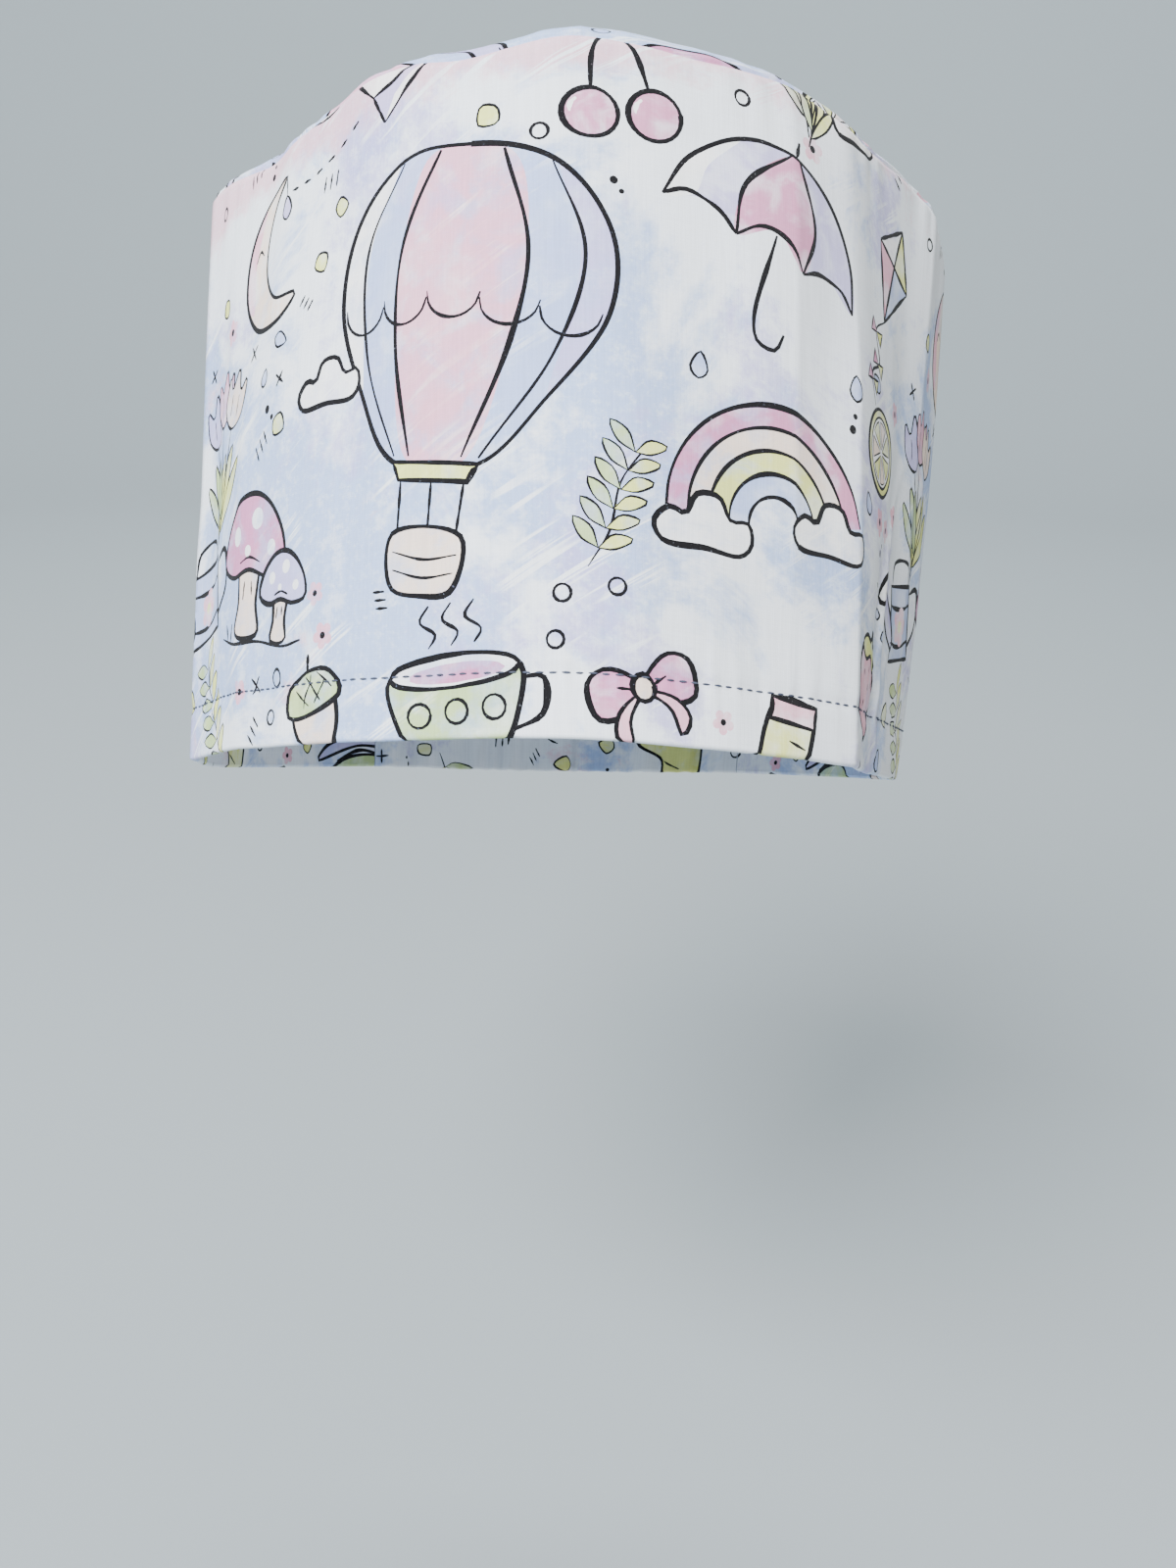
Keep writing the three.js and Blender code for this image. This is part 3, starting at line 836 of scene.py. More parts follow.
def colour_setting(name, description, hex_colour):
    return bpy.props.FloatVectorProperty(
        name=name, description=description, subtype="COLOR", size=3, min=0, max=1, default=linear(hex_colour)
    )


def length_setting(name, description, millimetres):
    return bpy.props.FloatProperty(
        name=name, description=description, subtype="DISTANCE", unit="LENGTH", min=0, default=millimetres * MM
    )


def power_setting(name, description, watts):
    return bpy.props.FloatProperty(name=name, description=description, unit="POWER", default=watts)


class CapClothSettings(bpy.types.PropertyGroup):
    """Sizes and pigments of the printed cotton"""

    wall: length_setting("Cloth wall", "Thickness of one layer of the cotton", 0.55)
    turn_radius: length_setting("Turned edge", "Radius that the cloth turns on at the hem", 0.8)
    facing_depth: length_setting("Hem depth", "How far the hem is turned up inside", 12.8)
    triangle: length_setting("Cloth step", "Spacing of the points that the cloth is drawn with", 2.3)
    ink: colour_setting("Ink", "Brush-pen outlines", "#0f0e12")
    blue: colour_setting("Blue", "Pale blue fill", "#a9bbe8")
    lilac: colour_setting("Lilac", "Lilac fill", "#b9b3e2")
    pink: colour_setting("Pink", "Pale pink fill", "#e9a9bd")
    rose: colour_setting("Rose", "Deeper pink fill", "#cf7ba6")
    lime: colour_setting("Lime", "Yellow-green fill", "#dfe373")
    sage: colour_setting("Sage", "Green fill", "#b3c97c")
    white: colour_setting("White", "White fill", "#fbfbfb")
    cream: colour_setting("Cream", "Warm white fill", "#f2dcc9")
    ground_white: colour_setting("Ground white", "Palest wash of the ground", "#eef4fc")
    ground_blue: colour_setting("Ground blue", "Blue wash of the ground", "#a8bfe9")
    ground_lilac: colour_setting("Ground lilac", "Lilac wash of the ground", "#b4b0e2")
    ground_pink: colour_setting("Ground pink", "Pink wash of the ground", "#e8bccb")


class CapThreadSettings(bpy.types.PropertyGroup):
    """The stitched rows"""

    pitch: length_setting("Pitch", "From one stitch to the next", 2.45)
    stitch: length_setting("Stitch", "Length of thread that shows in one stitch", 1.65)
    thread: length_setting("Thread", "Thickness of the thread", 0.42)
    casing_row: length_setting("Casing row", "Height of the row that closes the casing", 20.0)
    colour: colour_setting("Thread colour", "Slate sewing thread", "#3c4254")


class CapStageSettings(bpy.types.PropertyGroup):
    """The floor, light and camera"""

    floor: colour_setting("Floor", "Pale floor and backdrop", "#9ca4a8")
    drop: length_setting("Drop", "How far the floor is below the mount", 290)
    key: power_setting("Key light", "Power of the large soft light", 155)
    fill: power_setting("Fill light", "Power of the weak warm light", 8)
    backdrop: power_setting("Backdrop light", "Power of the light on the backdrop", 125)
    sky: bpy.props.FloatProperty(name="Room light", description="Strength of the even light", default=0.05)


def cut(outline, grid, marks=(), weld=1e-4):
    """Cuts flat cloth along its marks: gives its places, triangles, topmost marks and sources."""
    rings = [outline] + [points for points, _ in marks]
    flat = np.concatenate(rings + [grid])
    ends = np.cumsum([len(ring) for ring in rings])
    faces = [list(range(end - len(ring), end)) for ring, end in zip(rings, ends)]
    places, _, triangles, sources, _, covers = delaunay_2d_cdt(
        [Vector(point) for point in flat.tolist()], [], faces, 0, weld, True
    )
    kept = [k for k, cover in enumerate(covers) if 0 in cover]
    triangles = np.array([triangles[k] for k in kept])
    middles = np.array([tuple(place) for place in places])[triangles].mean(axis=1)
    owners = np.repeat(np.arange(len(kept)), [len(covers[k]) for k in kept])
    cover = np.concatenate([covers[k] for k in kept])
    lows = np.array([ring.min(axis=0) for ring in rings])
    highs = np.array([ring.max(axis=0) for ring in rings])
    within = ((middles[owners] >= lows[cover]) & (middles[owners] <= highs[cover])).all(axis=1)
    tops = np.zeros(len(kept), dtype=int)
    np.maximum.at(tops, owners[within], cover[within])
    used, triangles = np.unique(triangles, return_inverse=True)
    places = np.array([tuple(places[k]) for k in used])
    sources = np.array([min(sources[k]) if len(sources[k]) else -1 for k in used])
    return places, triangles.reshape(-1, 3), tops, sources


def edge_loop(triangles):
    """The points round the open edge, in order."""
    edges = {(a, b) for triangle in triangles.tolist() for a, b in zip(triangle, triangle[1:] + triangle[:1])}
    after = {a: b for a, b in edges if (b, a) not in edges}
    start = next(iter(after))
    loop = [start]
    while after[loop[-1]] != start:
        loop.append(after[loop[-1]])
    if len(loop) != len(after):
        raise RuntimeError("the flat cloth has more than one edge")
    return loop


def cloth_normals(place, flat, depth):
    step = 0.12
    x, y = flat[:, 0], flat[:, 1]
    east = place(x + step, y, depth) - place(x - step, y, depth)
    north = place(x, y + step, depth) - place(x, y - step, depth)
    return unit(np.cross(east, north))


# The settings that hold the pigments, in the order in which the marks name them, and how far fills cover
PIGMENTS = ("ink", "blue", "lilac", "pink", "rose", "lime", "sage", "white", "cream")
FILL_COVER = 0.88

INNER_SHARE = 0.15


def bake_places(flat, corners, strips, inner):
    """Where each corner lies on the baked sheet: the face in stacked strips, the back small beside them."""
    low, high = flat.min(axis=0), flat.max(axis=0)
    width, height = (high - low) / np.array([strips, 1])
    gap = 3.0
    total = max(width * (1 + INNER_SHARE) + 2 * gap, (height + gap) * strips)
    middle = corners.mean(axis=1)
    strip = np.clip(((middle[:, 0] - low[0]) / width).astype(int), 0, strips - 1)[:, None]
    places = corners - low
    places[..., 0] -= strip * width
    places[..., 1] += strip * (height + gap)
    if inner:
        places = places * INNER_SHARE + np.array([width + 2 * gap, 0])
    return (places + 0.5 * gap) / (total + gap)


def sew(name, outline, grid, place, strips, finish, marks, cloth_start=(0, 0)):
    """A closed piece of cloth, made flat with its print cut into it, then laid in place."""
    cloth = bpy.context.scene.cap_cloth
    wall = cloth.wall / MM
    flat, triangles, tops, _ = cut(outline, grid, marks)
    loop = edge_loop(triangles)
    rim = flat[loop]
    back_flat, back, _, sources = cut(rim, grid, weld=1e-6)
    of_rim = {source: k for k, source in enumerate(sources.tolist()) if 0 <= source < len(loop)}
    if len(of_rim) != len(loop):
        raise RuntimeError(f"{name}: its two faces don't share one edge")
    back_loop = [of_rim[k] + len(flat) for k in range(len(loop))]

    face_points = place(flat[:, 0], flat[:, 1], 0.0)
    back_points = place(back_flat[:, 0], back_flat[:, 1], wall)
    face_normals = cloth_normals(place, flat, 0.0)
    back_normals = -cloth_normals(place, back_flat, wall)
    points = worn(np.vstack([face_points, back_points]))
    normals = worn(np.vstack([face_normals, back_normals])) / MM
    following, back_following = loop[1:] + loop[:1], back_loop[1:] + back_loop[:1]
    quads = np.stack([following, loop, back_loop, back_following], axis=1)
    threes = np.vstack([triangles, back[:, ::-1] + len(flat)])
    mesh = bpy.data.meshes.new(name)
    mesh.from_pydata(points.tolist(), [], threes.tolist() + quads.tolist())

    flats = np.vstack([flat, back_flat])
    corners = np.concatenate([threes.ravel(), quads.ravel()])
    cloth_map, bake_map = mesh.uv_layers.new(name="cloth"), mesh.uv_layers.new(name="OFBake")
    cloth_map.data.foreach_set("uv", ((flats[corners] + cloth_start) * MM).ravel())
    sheets = [
        bake_places(flat, flats[threes[: len(triangles)]], strips, False),
        bake_places(flat, flats[threes[len(triangles) :]], strips, True),
        bake_places(flat, flats[quads], strips, True),
    ]
    bake_map.data.foreach_set("uv", np.concatenate([sheet.reshape(-1, 2) for sheet in sheets]).ravel())

    pigments = [(0, 0, 0, 0)]
    pigments += [(*getattr(cloth, key), 1.0 if key == "ink" else FILL_COVER) for key in PIGMENTS]
    of_mark = np.array([0] + [colour + 1 for _, colour in marks])
    print_layer = mesh.color_attributes.new(name="print", type="FLOAT_COLOR", domain="CORNER")
    painted = np.zeros((len(corners), 4))
    painted[: triangles.size] = np.repeat(np.array(pigments)[of_mark[tops]], 3, axis=0)
    print_layer.data.foreach_set("color", painted.ravel())

    mesh.materials.append(finish_of(finish))
    mesh.materials.append(finish_of("reverse of the cotton"))
    of_face = np.zeros(len(mesh.polygons), dtype=int)
    of_face[len(triangles) :] = 1
    mesh.polygons.foreach_set("material_index", of_face)
    mesh.shade_smooth()
    turned = normals[corners]
    rim_start = threes.size
    outward = points[quads[:, 1]] - points[quads[:, 2]]
    along = points[quads[:, 0]] - points[quads[:, 1]]
    turned[rim_start:] = np.repeat(unit(np.cross(along, outward)), 4, axis=0)
    mesh.normals_split_custom_set(turned.tolist())
    if mesh.validate():
        raise RuntimeError(f"{name}: its mesh needed repair")
    piece = bpy.data.objects.new(name, mesh)
    bpy.context.scene.collection.objects.link(piece)
    return piece


def stations(low, high, step):
    return np.linspace(low, high, max(int(round((high - low) / step)), 2) + 1)


# Rows of points, in mm: in from an edge, beside the hem's stitches, in from the nape's gathers, and round
# a turned edge, where they are angles
EDGE_ROWS = (0.25, 0.6, 1.0, 1.5, 2.2, 3.2, 4.6, 6.4)
HEM_ROWS = (9.6, 10.8, 11.5, 12.0, 12.5, 13.2, 14.4)
NAPE_ROWS = (8.0, 10.0, 12.5, 15.0, 18.0, 22.0, 27.0, 33.0)
TURN_ANGLES = (0.0, 0.6, 1.2, 1.8, 2.4)
SEAM_STEP = 1.9
NAPE_STEP = 0.85
FACING_STEP = 1.6
CASING_STEP = 1.5
CROWN_STEP_SHARE = 1.15
SIDE_GAP = 0.15
FACING_GAP = 0.05
CASING_SPARE = 0.6


def strip_cut(low, high, bottom, step, top=None, rows=(), side_step=SEAM_STEP):
    """The flat outline and points of a strip between two flat places, up to a height or to the seam."""
    across = stations(low, high, side_step)
    tops = at_place(FULL_HEIGHTS, around_at(across)) if top is None else np.full_like(across, top)
    grid = []
    for place, full in zip(across, tops):
        inner = stations(bottom, full, step)[1:-1]
        heights = np.concatenate([inner, [full - row for row in EDGE_ROWS], rows])
        heights = np.unique(np.round(heights[(heights > bottom + 0.1) & (heights < full - 0.1)], 3))
        grid.append(np.stack([np.full_like(heights, place), heights], axis=1))
    sides = [points[:, 1] for points in (grid[0], grid[-1])]
    outline = np.vstack([
        np.stack([across, np.full_like(across, bottom)], axis=1),
        np.stack([np.full_like(sides[1], high), sides[1]], axis=1),
        np.stack([across, tops], axis=1)[::-1],
        np.stack([np.full_like(sides[0], low), sides[0]], axis=1)[::-1],
    ])
    return outline, np.vstack(grid[1:-1])


def crown_cut(step):
    """The crown's flat outline round its peak, and the points inside it."""
    front = stations(LEFT_SEAM, RIGHT_SEAM, SEAM_STEP)[:-1]
    back = stations(RIGHT_SEAM, ROUND + LEFT_SEAM, NAPE_STEP)[:-1]
    around = around_at(np.concatenate([front, back]))
    turns, reaches = at_place(CROWN_TURNS, around), at_place(CROWN_REACHES, around)
    away = np.stack([np.cos(turns), np.sin(turns)], axis=1)
    outline = away * reaches[:, None]
    rings = np.vstack([away * (reaches - row)[:, None] for row in EDGE_ROWS])
    nape = slice(len(front), None)
    rings = np.vstack([rings] + [away[nape] * (reaches[nape] - row)[:, None] for row in NAPE_ROWS])
    low, high = outline.min(axis=0), outline.max(axis=0)
    x, y = np.meshgrid(stations(low[0], high[0], step), stations(low[1], high[1], step))
    field = np.stack([x.ravel(), y.ravel()], axis=1)
    turn = np.mod(np.arctan2(field[:, 1], field[:, 0]) - CROWN_TURNS[0], 2 * math.pi) + CROWN_TURNS[0]
    room = at_place(CROWN_REACHES, np.interp(turn, CROWN_TURNS, DENSE)) - np.hypot(field[:, 0], field[:, 1])
    return outline, np.vstack([rings, field[room > EDGE_ROWS[-1] + 0.5]])


def link_or_set(tree, value, socket):
    if isinstance(value, bpy.types.NodeSocket):
        tree.links.new(value, socket)
    else:
        socket.default_value = value


def node(tree, kind, inputs=None, **settings):
    """Adds a node with its settings, and links or sets its inputs by name or place."""
    made = tree.nodes.new(kind)
    for name, value in settings.items():
        setattr(made, name, value)
    for key, value in (inputs or {}).items():
        link_or_set(tree, value, made.inputs[key])
    return made


def maths(tree, operation, a, b=0.0, c=0.0):
    return node(tree, "ShaderNodeMath", {0: a, 1: b, 2: c}, operation=operation).outputs[0]


def spread(tree, value, low, high, to_low=0.0, to_high=1.0):
    """A value moved smoothly from one span into another."""
    inputs = {"Value": value, "From Min": low, "From Max": high, "To Min": to_low, "To Max": to_high}
    return node(tree, "ShaderNodeMapRange", inputs, interpolation_type="SMOOTHSTEP").outputs["Result"]


def noise(tree, vector, scale, detail=3.0, roughness=0.5, distortion=0.0):
    inputs = {
        "Vector": vector, "Scale": scale, "Detail": detail, "Roughness": roughness, "Distortion": distortion,
    }
    return node(tree, "ShaderNodeTexNoise", inputs).outputs["Fac"]


def mapped(tree, vector, size=(1, 1, 1), shift=(0, 0, 0)):
    inputs = {"Vector": vector, "Location": shift, "Scale": size}
    return node(tree, "ShaderNodeMapping", inputs).outputs["Vector"]


def brushed(tree, vector, length, width, turn):
    """Places stretched so that a pattern of unit size becomes slanted brush strokes."""
    inputs = {"Vector": vector, "Rotation": (0, 0, math.radians(turn)), "Scale": (length, width, 1)}
    return node(tree, "ShaderNodeMapping", inputs, vector_type="TEXTURE").outputs["Vector"]


def mixed(tree, share, a, b, blend="MIX"):
    made = node(tree, "ShaderNodeMix", data_type="RGBA", blend_type=blend)
    for value, place in ((share, 0), (a, 6), (b, 7)):
        link_or_set(tree, value, made.inputs[place])
    return made.outputs[2]


def shader_group(name, inputs, outputs):
    """An empty shader node group with its sockets, and its two ends."""
    tree = bpy.data.node_groups.new(name, "ShaderNodeTree")
    for socket, kind in inputs:
        tree.interface.new_socket(socket, in_out="INPUT", socket_type=kind)
    for socket, kind in outputs:
        tree.interface.new_socket(socket, in_out="OUTPUT", socket_type=kind)
    return tree, tree.nodes.new("NodeGroupInput").outputs, tree.nodes.new("NodeGroupOutput").inputs


WASHES = ("White", "Blue", "Lilac", "Pink")


def watercolour_ground():
    """Pale washes that run into each other, with a pink band under the seam and white streaks."""
    tree, given, result = shader_group(
        "watercolour ground",
        [("Cloth", "NodeSocketVector")] + [(name, "NodeSocketColor") for name in WASHES],
        [("Color", "NodeSocketColor"), ("Wash", "NodeSocketFloat")],
    )
    cloth = given["Cloth"]
    places = node(tree, "ShaderNodeSeparateXYZ", {0: cloth}).outputs
    rise = maths(tree, "COSINE", maths(tree, "MULTIPLY_ADD", places[1], 0.042, -2.3))
    reach = maths(tree, "COSINE", maths(tree, "MULTIPLY_ADD", places[0], 0.0283, 0.85))
    repeat = maths(tree, "MULTIPLY", maths(tree, "ADD", rise, reach), 0.04)
    blue = spread(tree, maths(tree, "ADD", repeat, noise(tree, cloth, 0.019, 9, 0.68, 0.4)), 0.46, 0.57)
    lilac_noise = noise(tree, mapped(tree, cloth, shift=(130, 70, 0)), 0.017, 9, 0.7, 0.3)
    lilac = spread(tree, lilac_noise, 0.52, 0.62, 0, 0.8)
    scumble = spread(tree, noise(tree, cloth, 0.16, 8, 0.75), 0.5, 0.64, 0, 0.5)
    slanted = maths(tree, "MULTIPLY_ADD", places[0], -0.09, places[1])
    ragged = maths(tree, "MULTIPLY_ADD", noise(tree, cloth, 0.035, 9, 0.72), 30.0, slanted)
    band = maths(tree, "MULTIPLY", spread(tree, ragged, 142, 149), spread(tree, places[1], 200, 210, 1, 0))
    pink_noise = noise(tree, mapped(tree, cloth, shift=(40, 310, 0)), 0.021, 8, 0.7, 0.3)
    patches = spread(tree, pink_noise, 0.6, 0.68, 0, 0.6)
    pink = maths(tree, "MAXIMUM", maths(tree, "MULTIPLY", band, 0.85), patches)
    clustered = spread(tree, noise(tree, mapped(tree, cloth, shift=(70, 20, 0)), 0.03, 3), 0.47, 0.55)
    strokes = spread(tree, noise(tree, brushed(tree, cloth, 42, 3.4, 33), 1.0, 1), 0.53, 0.6)
    bristles = spread(tree, noise(tree, brushed(tree, cloth, 34, 0.7, 33), 1.0, 2), 0.44, 0.54)
    streaks = maths(tree, "MULTIPLY", maths(tree, "MULTIPLY", strokes, bristles), clustered)
    grain = noise(tree, cloth, 0.9, 5, 0.7)
    wash = mixed(tree, blue, given["White"], given["Blue"])
    wash = mixed(tree, lilac, wash, given["Lilac"])
    wash = mixed(tree, scumble, wash, given["White"])
    wash = mixed(tree, pink, wash, given["Pink"])
    wash = mixed(tree, streaks, wash, given["White"])
    wash = mixed(tree, spread(tree, grain, 0.5, 0.75, 0, 0.45), wash, given["White"])
    tree.links.new(wash, result["Color"])
    tree.links.new(grain, result["Wash"])
    return tree


def plain_weave():
    """Threads of uneven thickness both ways, the upright ones plainer to see."""
    outputs = [("Shade", "NodeSocketFloat"), ("Height", "NodeSocketFloat")]
    tree, given, result = shader_group("plain weave", [("Cloth", "NodeSocketVector")], outputs)
    cloth = given["Cloth"]
    upright = noise(tree, mapped(tree, cloth, size=(2.2, 0.07, 1)), 1.0, 2, 0.6)
    level = noise(tree, mapped(tree, cloth, size=(0.08, 2.4, 1), shift=(9, 4, 0)), 1.0, 2, 0.6)
    waves = [
        node(tree, "ShaderNodeTexWave", {"Vector": cloth, "Scale": 0.72, "Distortion": 0.5, "Detail": 1.0},
             bands_direction=direction).outputs["Fac"]
        for direction in "XY"
    ]
    threads = maths(tree, "MULTIPLY", waves[0], waves[1])
    slubs = maths(tree, "MULTIPLY_ADD", upright, 0.68, maths(tree, "MULTIPLY", level, 0.32))
    tree.links.new(spread(tree, slubs, 0.36, 0.64), result["Shade"])
    tree.links.new(maths(tree, "MULTIPLY_ADD", threads, 0.5, slubs), result["Height"])
    return tree


def shader_ends(name):
    material = bpy.data.materials.new(name)
    material.use_nodes = True
    tree = material.node_tree
    principled = next(n for n in tree.nodes if n.type == "BSDF_PRINCIPLED")
    return material, tree, principled


def group_in(tree, group, inputs):
    made = node(tree, "ShaderNodeGroup", node_tree=group)
    for key, value in inputs.items():
        link_or_set(tree, value, made.inputs[key])
    return made.outputs


def rgba(colour):
    return (*colour, 1.0)


def cotton(name, printed, tone=(1, 1, 1), fade=0.0):
    """Plain-woven cotton with a watercolour ground, printed or not, toned darker, and faded towards white. The
    darker tone of the hem cotton is painted shade.
    """
    settings = bpy.context.scene.cap_cloth
    material, tree, principled = shader_ends(name)
    flat = node(tree, "ShaderNodeUVMap", uv_map="cloth").outputs[0]
    cloth = mapped(tree, flat, size=(1 / MM, 1 / MM, 1 / MM))
    washes = {key: rgba(getattr(settings, "ground_" + key.lower())) for key in WASHES}
    ground = group_in(tree, node_group("watercolour ground", watercolour_ground), {"Cloth": cloth, **washes})
    weave = group_in(tree, node_group("plain weave", plain_weave), {"Cloth": cloth})
    colour = ground["Color"]
    if printed:
        marks = node(tree, "ShaderNodeAttribute", attribute_name="print")
        pooled = noise(tree, cloth, 0.11, 5, 0.6, 0.5)
        ink = spread(tree, marks.outputs["Alpha"], 0.9, 0.98)
        filled = maths(tree, "SUBTRACT", 1.0, ink)
        thin = maths(tree, "MULTIPLY", spread(tree, pooled, 0.42, 0.66, 0, 0.55), filled)
        pigment = mixed(tree, thin, marks.outputs["Color"], ground["Color"])
        dry = maths(tree, "MULTIPLY", ink, spread(tree, noise(tree, cloth, 1.6, 3, 0.6), 0.62, 0.8, 0, 0.35))
        pigment = mixed(tree, dry, pigment, ground["Color"])
        colour = mixed(tree, marks.outputs["Alpha"], colour, pigment)
    if fade:
        colour = mixed(tree, fade, colour, rgba(settings.ground_white))
    if tone != (1, 1, 1):
        colour = mixed(tree, 1.0, colour, rgba(tone), "MULTIPLY")
    shade = spread(tree, weave["Shade"], 0, 1, 0.95, 1.02)
    grey = node(tree, "ShaderNodeCombineColor", {0: shade, 1: shade, 2: shade}).outputs[0]
    colour = mixed(tree, 1.0, colour, grey, "MULTIPLY")
    tree.links.new(colour, principled.inputs["Base Color"])
    rough = spread(tree, weave["Shade"], 0, 1, 0.95, 0.84)
    tree.links.new(rough, principled.inputs["Roughness"])
    bump = node(tree, "ShaderNodeBump", {"Height": weave["Height"], "Strength": 0.5, "Distance": 0.06 * MM})
    tree.links.new(bump.outputs[0], principled.inputs["Normal"])
    principled.inputs["Specular IOR Level"].default_value = 0.18
    principled.inputs["Sheen Weight"].default_value = 0.05
    principled.inputs["Sheen Roughness"].default_value = 0.6
    return material


def sewing_thread(name):
    """Slate thread, with its twist as fine slanted shade."""
    material, tree, principled = shader_ends(name)
    position = node(tree, "ShaderNodeTexCoord").outputs["Object"]
    waves = {"Vector": position, "Scale": 900.0, "Distortion": 1.5}
    twist = node(tree, "ShaderNodeTexWave", waves, bands_direction="DIAGONAL").outputs["Fac"]
    uneven = spread(tree, noise(tree, position, 260.0, 3), 0.3, 0.7, 0.75, 1.25)
    base = rgba(bpy.context.scene.cap_thread.colour)
    value = node(tree, "ShaderNodeHueSaturation", {"Value": uneven, "Color": base}).outputs[0]
    tree.links.new(value, principled.inputs["Base Color"])
    tree.links.new(spread(tree, twist, 0, 1, 0.6, 0.75), principled.inputs["Roughness"])
    bump = node(tree, "ShaderNodeBump", {"Height": twist, "Strength": 0.3, "Distance": 0.05 * MM})
    tree.links.new(bump.outputs[0], principled.inputs["Normal"])
    return material


def node_group(name, make):
    return bpy.data.node_groups.get(name) or make()


def finish_of(name):
    """The cap's materials by name, made when first asked for."""
    makers = {
        "printed cotton": lambda: cotton("printed cotton", True),
        # The hem cotton is the printed cotton darkened by a warm tone: painted shade, not a different cloth or
        # dye
        "hem cotton": lambda: cotton("hem cotton", True, (0.93, 0.91, 0.9)),
        "reverse of the cotton": lambda: cotton("reverse of the cotton", False, (0.97, 0.97, 0.97), 0.55),
        "slate thread": lambda: sewing_thread("slate thread"),
    }
    return bpy.data.materials.get(name) or makers[name]()


def stitch_row_nodes():
    """Geometry nodes that lay short threads end to end along a line."""
    tree = bpy.data.node_groups.new("stitch row", "GeometryNodeTree")
    sockets = {
        "Geometry": "Geometry", "Pitch": "Float", "Stitch": "Float", "Thread": "Float", "Seed": "Int",
        "Finish": "Material",
    }
    for name, kind in sockets.items():
        tree.interface.new_socket(name, in_out="INPUT", socket_type="NodeSocket" + kind)
    tree.interface.new_socket("Geometry", in_out="OUTPUT", socket_type="NodeSocketGeometry")
    given = tree.nodes.new("NodeGroupInput").outputs
    line = node(tree, "GeometryNodeMeshToCurve", {"Mesh": given["Geometry"]}).outputs[0]
    steps = {"Curve": line, "Length": given["Pitch"]}
    even = node(tree, "GeometryNodeResampleCurve", steps, mode="LENGTH").outputs[0]
    along = node(tree, "GeometryNodeInputTangent").outputs[0]
    facing = node(tree, "FunctionNodeAlignRotationToVector", {"Vector": along}, axis="X").outputs[0]
    uneven = node(tree, "FunctionNodeRandomValue", data_type="FLOAT")
    for key, value in (("Min", 0.88), ("Max", 1.08)):
        next(s for s in uneven.inputs if s.name == key and s.type == "VALUE").default_value = value
    tree.links.new(given["Seed"], uneven.inputs["Seed"])
    varied = next(s for s in uneven.outputs if s.type == "VALUE")
    half = maths(tree, "MULTIPLY", maths(tree, "MULTIPLY", given["Stitch"], varied), 0.5)
    thick = maths(tree, "MULTIPLY", given["Thread"], 0.5)
    size = node(tree, "ShaderNodeCombineXYZ", {0: half, 1: thick, 2: thick}).outputs[0]
    grain = node(tree, "GeometryNodeMeshUVSphere", {"Segments": 10, "Rings": 8, "Radius": 1.0}).outputs[0]
    inputs = {"Points": even, "Instance": grain, "Rotation": facing, "Scale": size}
    laid = node(tree, "GeometryNodeInstanceOnPoints", inputs).outputs[0]
    real = node(tree, "GeometryNodeRealizeInstances", {"Geometry": laid}).outputs[0]
    done = node(tree, "GeometryNodeSetMaterial", {"Geometry": real, "Material": given["Finish"]}).outputs[0]
    tree.links.new(done, tree.nodes.new("NodeGroupOutput").inputs["Geometry"])
    return tree


def stitched(name, paths, seed):
    """Rows of stitches along lines of points, as one plain mesh."""
    settings = bpy.context.scene.cap_thread
    points = worn(np.vstack(paths))
    ends = np.cumsum([len(path) for path in paths])
    edges = [(k, k + 1) for path, end in zip(paths, ends) for k in range(end - len(path), end - 1)]
    mesh = bpy.data.meshes.new(name + "_line")
    mesh.from_pydata(points.tolist(), edges, [])
    piece = bpy.data.objects.new(name, mesh)
    bpy.context.scene.collection.objects.link(piece)
    group = node_group("stitch row", stitch_row_nodes)
    rows = piece.modifiers.new("stitch row", "NODES")
    rows.node_group = group
    values = {
        "Pitch": settings.pitch, "Stitch": settings.stitch, "Thread": settings.thread, "Seed": seed,
        "Finish": finish_of("slate thread"),
    }
    for socket in group.interface.items_tree:
        if socket.in_out == "INPUT" and socket.name in values:
            rows[socket.identifier] = values[socket.name]
    bpy.context.view_layer.update()
    laid = piece.evaluated_get(bpy.context.evaluated_depsgraph_get())
    plain = bpy.data.meshes.new_from_object(laid)
    plain.name = name
    piece.modifiers.remove(rows)
    piece.data = plain
    if not len(plain.polygons):
        raise RuntimeError(f"{name} has no stitches")
    plain.shade_smooth()
    return piece


def placed(piece, node_name=None):
    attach(piece, "root")
    if node_name:
        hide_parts(node_name)


def band_place(turn_radius):
    return lambda flat, height, depth: band_cloth(flat, height, depth, turn_radius)


BAND_PRINT_START = (-111.0, -12.0)
CROWN_PRINT_START = (-150.0, -40.0)
CROWN_PRINT_TURN = 24.0
CROWN_CLOTH_START = (400.0, 700.0)


class SewFrontPanel(bpy.types.Operator):
    """Sew the band that wraps the head, with its print and the turned edge of its hem"""

    bl_idname = "scrub_cap.sew_front_panel"
    bl_label = "Sew Front Panel"

    def execute(self, context):
        cloth = context.scene.cap_cloth
        radius = cloth.turn_radius / MM
        turned = radius * (1 - math.pi)
        rows = tuple(radius * (1 - angle) for angle in TURN_ANGLES) + HEM_ROWS
        outline, grid = strip_cut(
            LEFT_SEAM + SIDE_GAP, RIGHT_SEAM - SIDE_GAP, turned, cloth.triangle / MM, rows=rows
        )
        marks = print_over(outline, BAND_PRINT_START)
        piece = sew("front_panel_cloth", outline, grid, band_place(radius), 2, "printed cotton", marks)
        placed(piece, "front_panel")
        return {"FINISHED"}


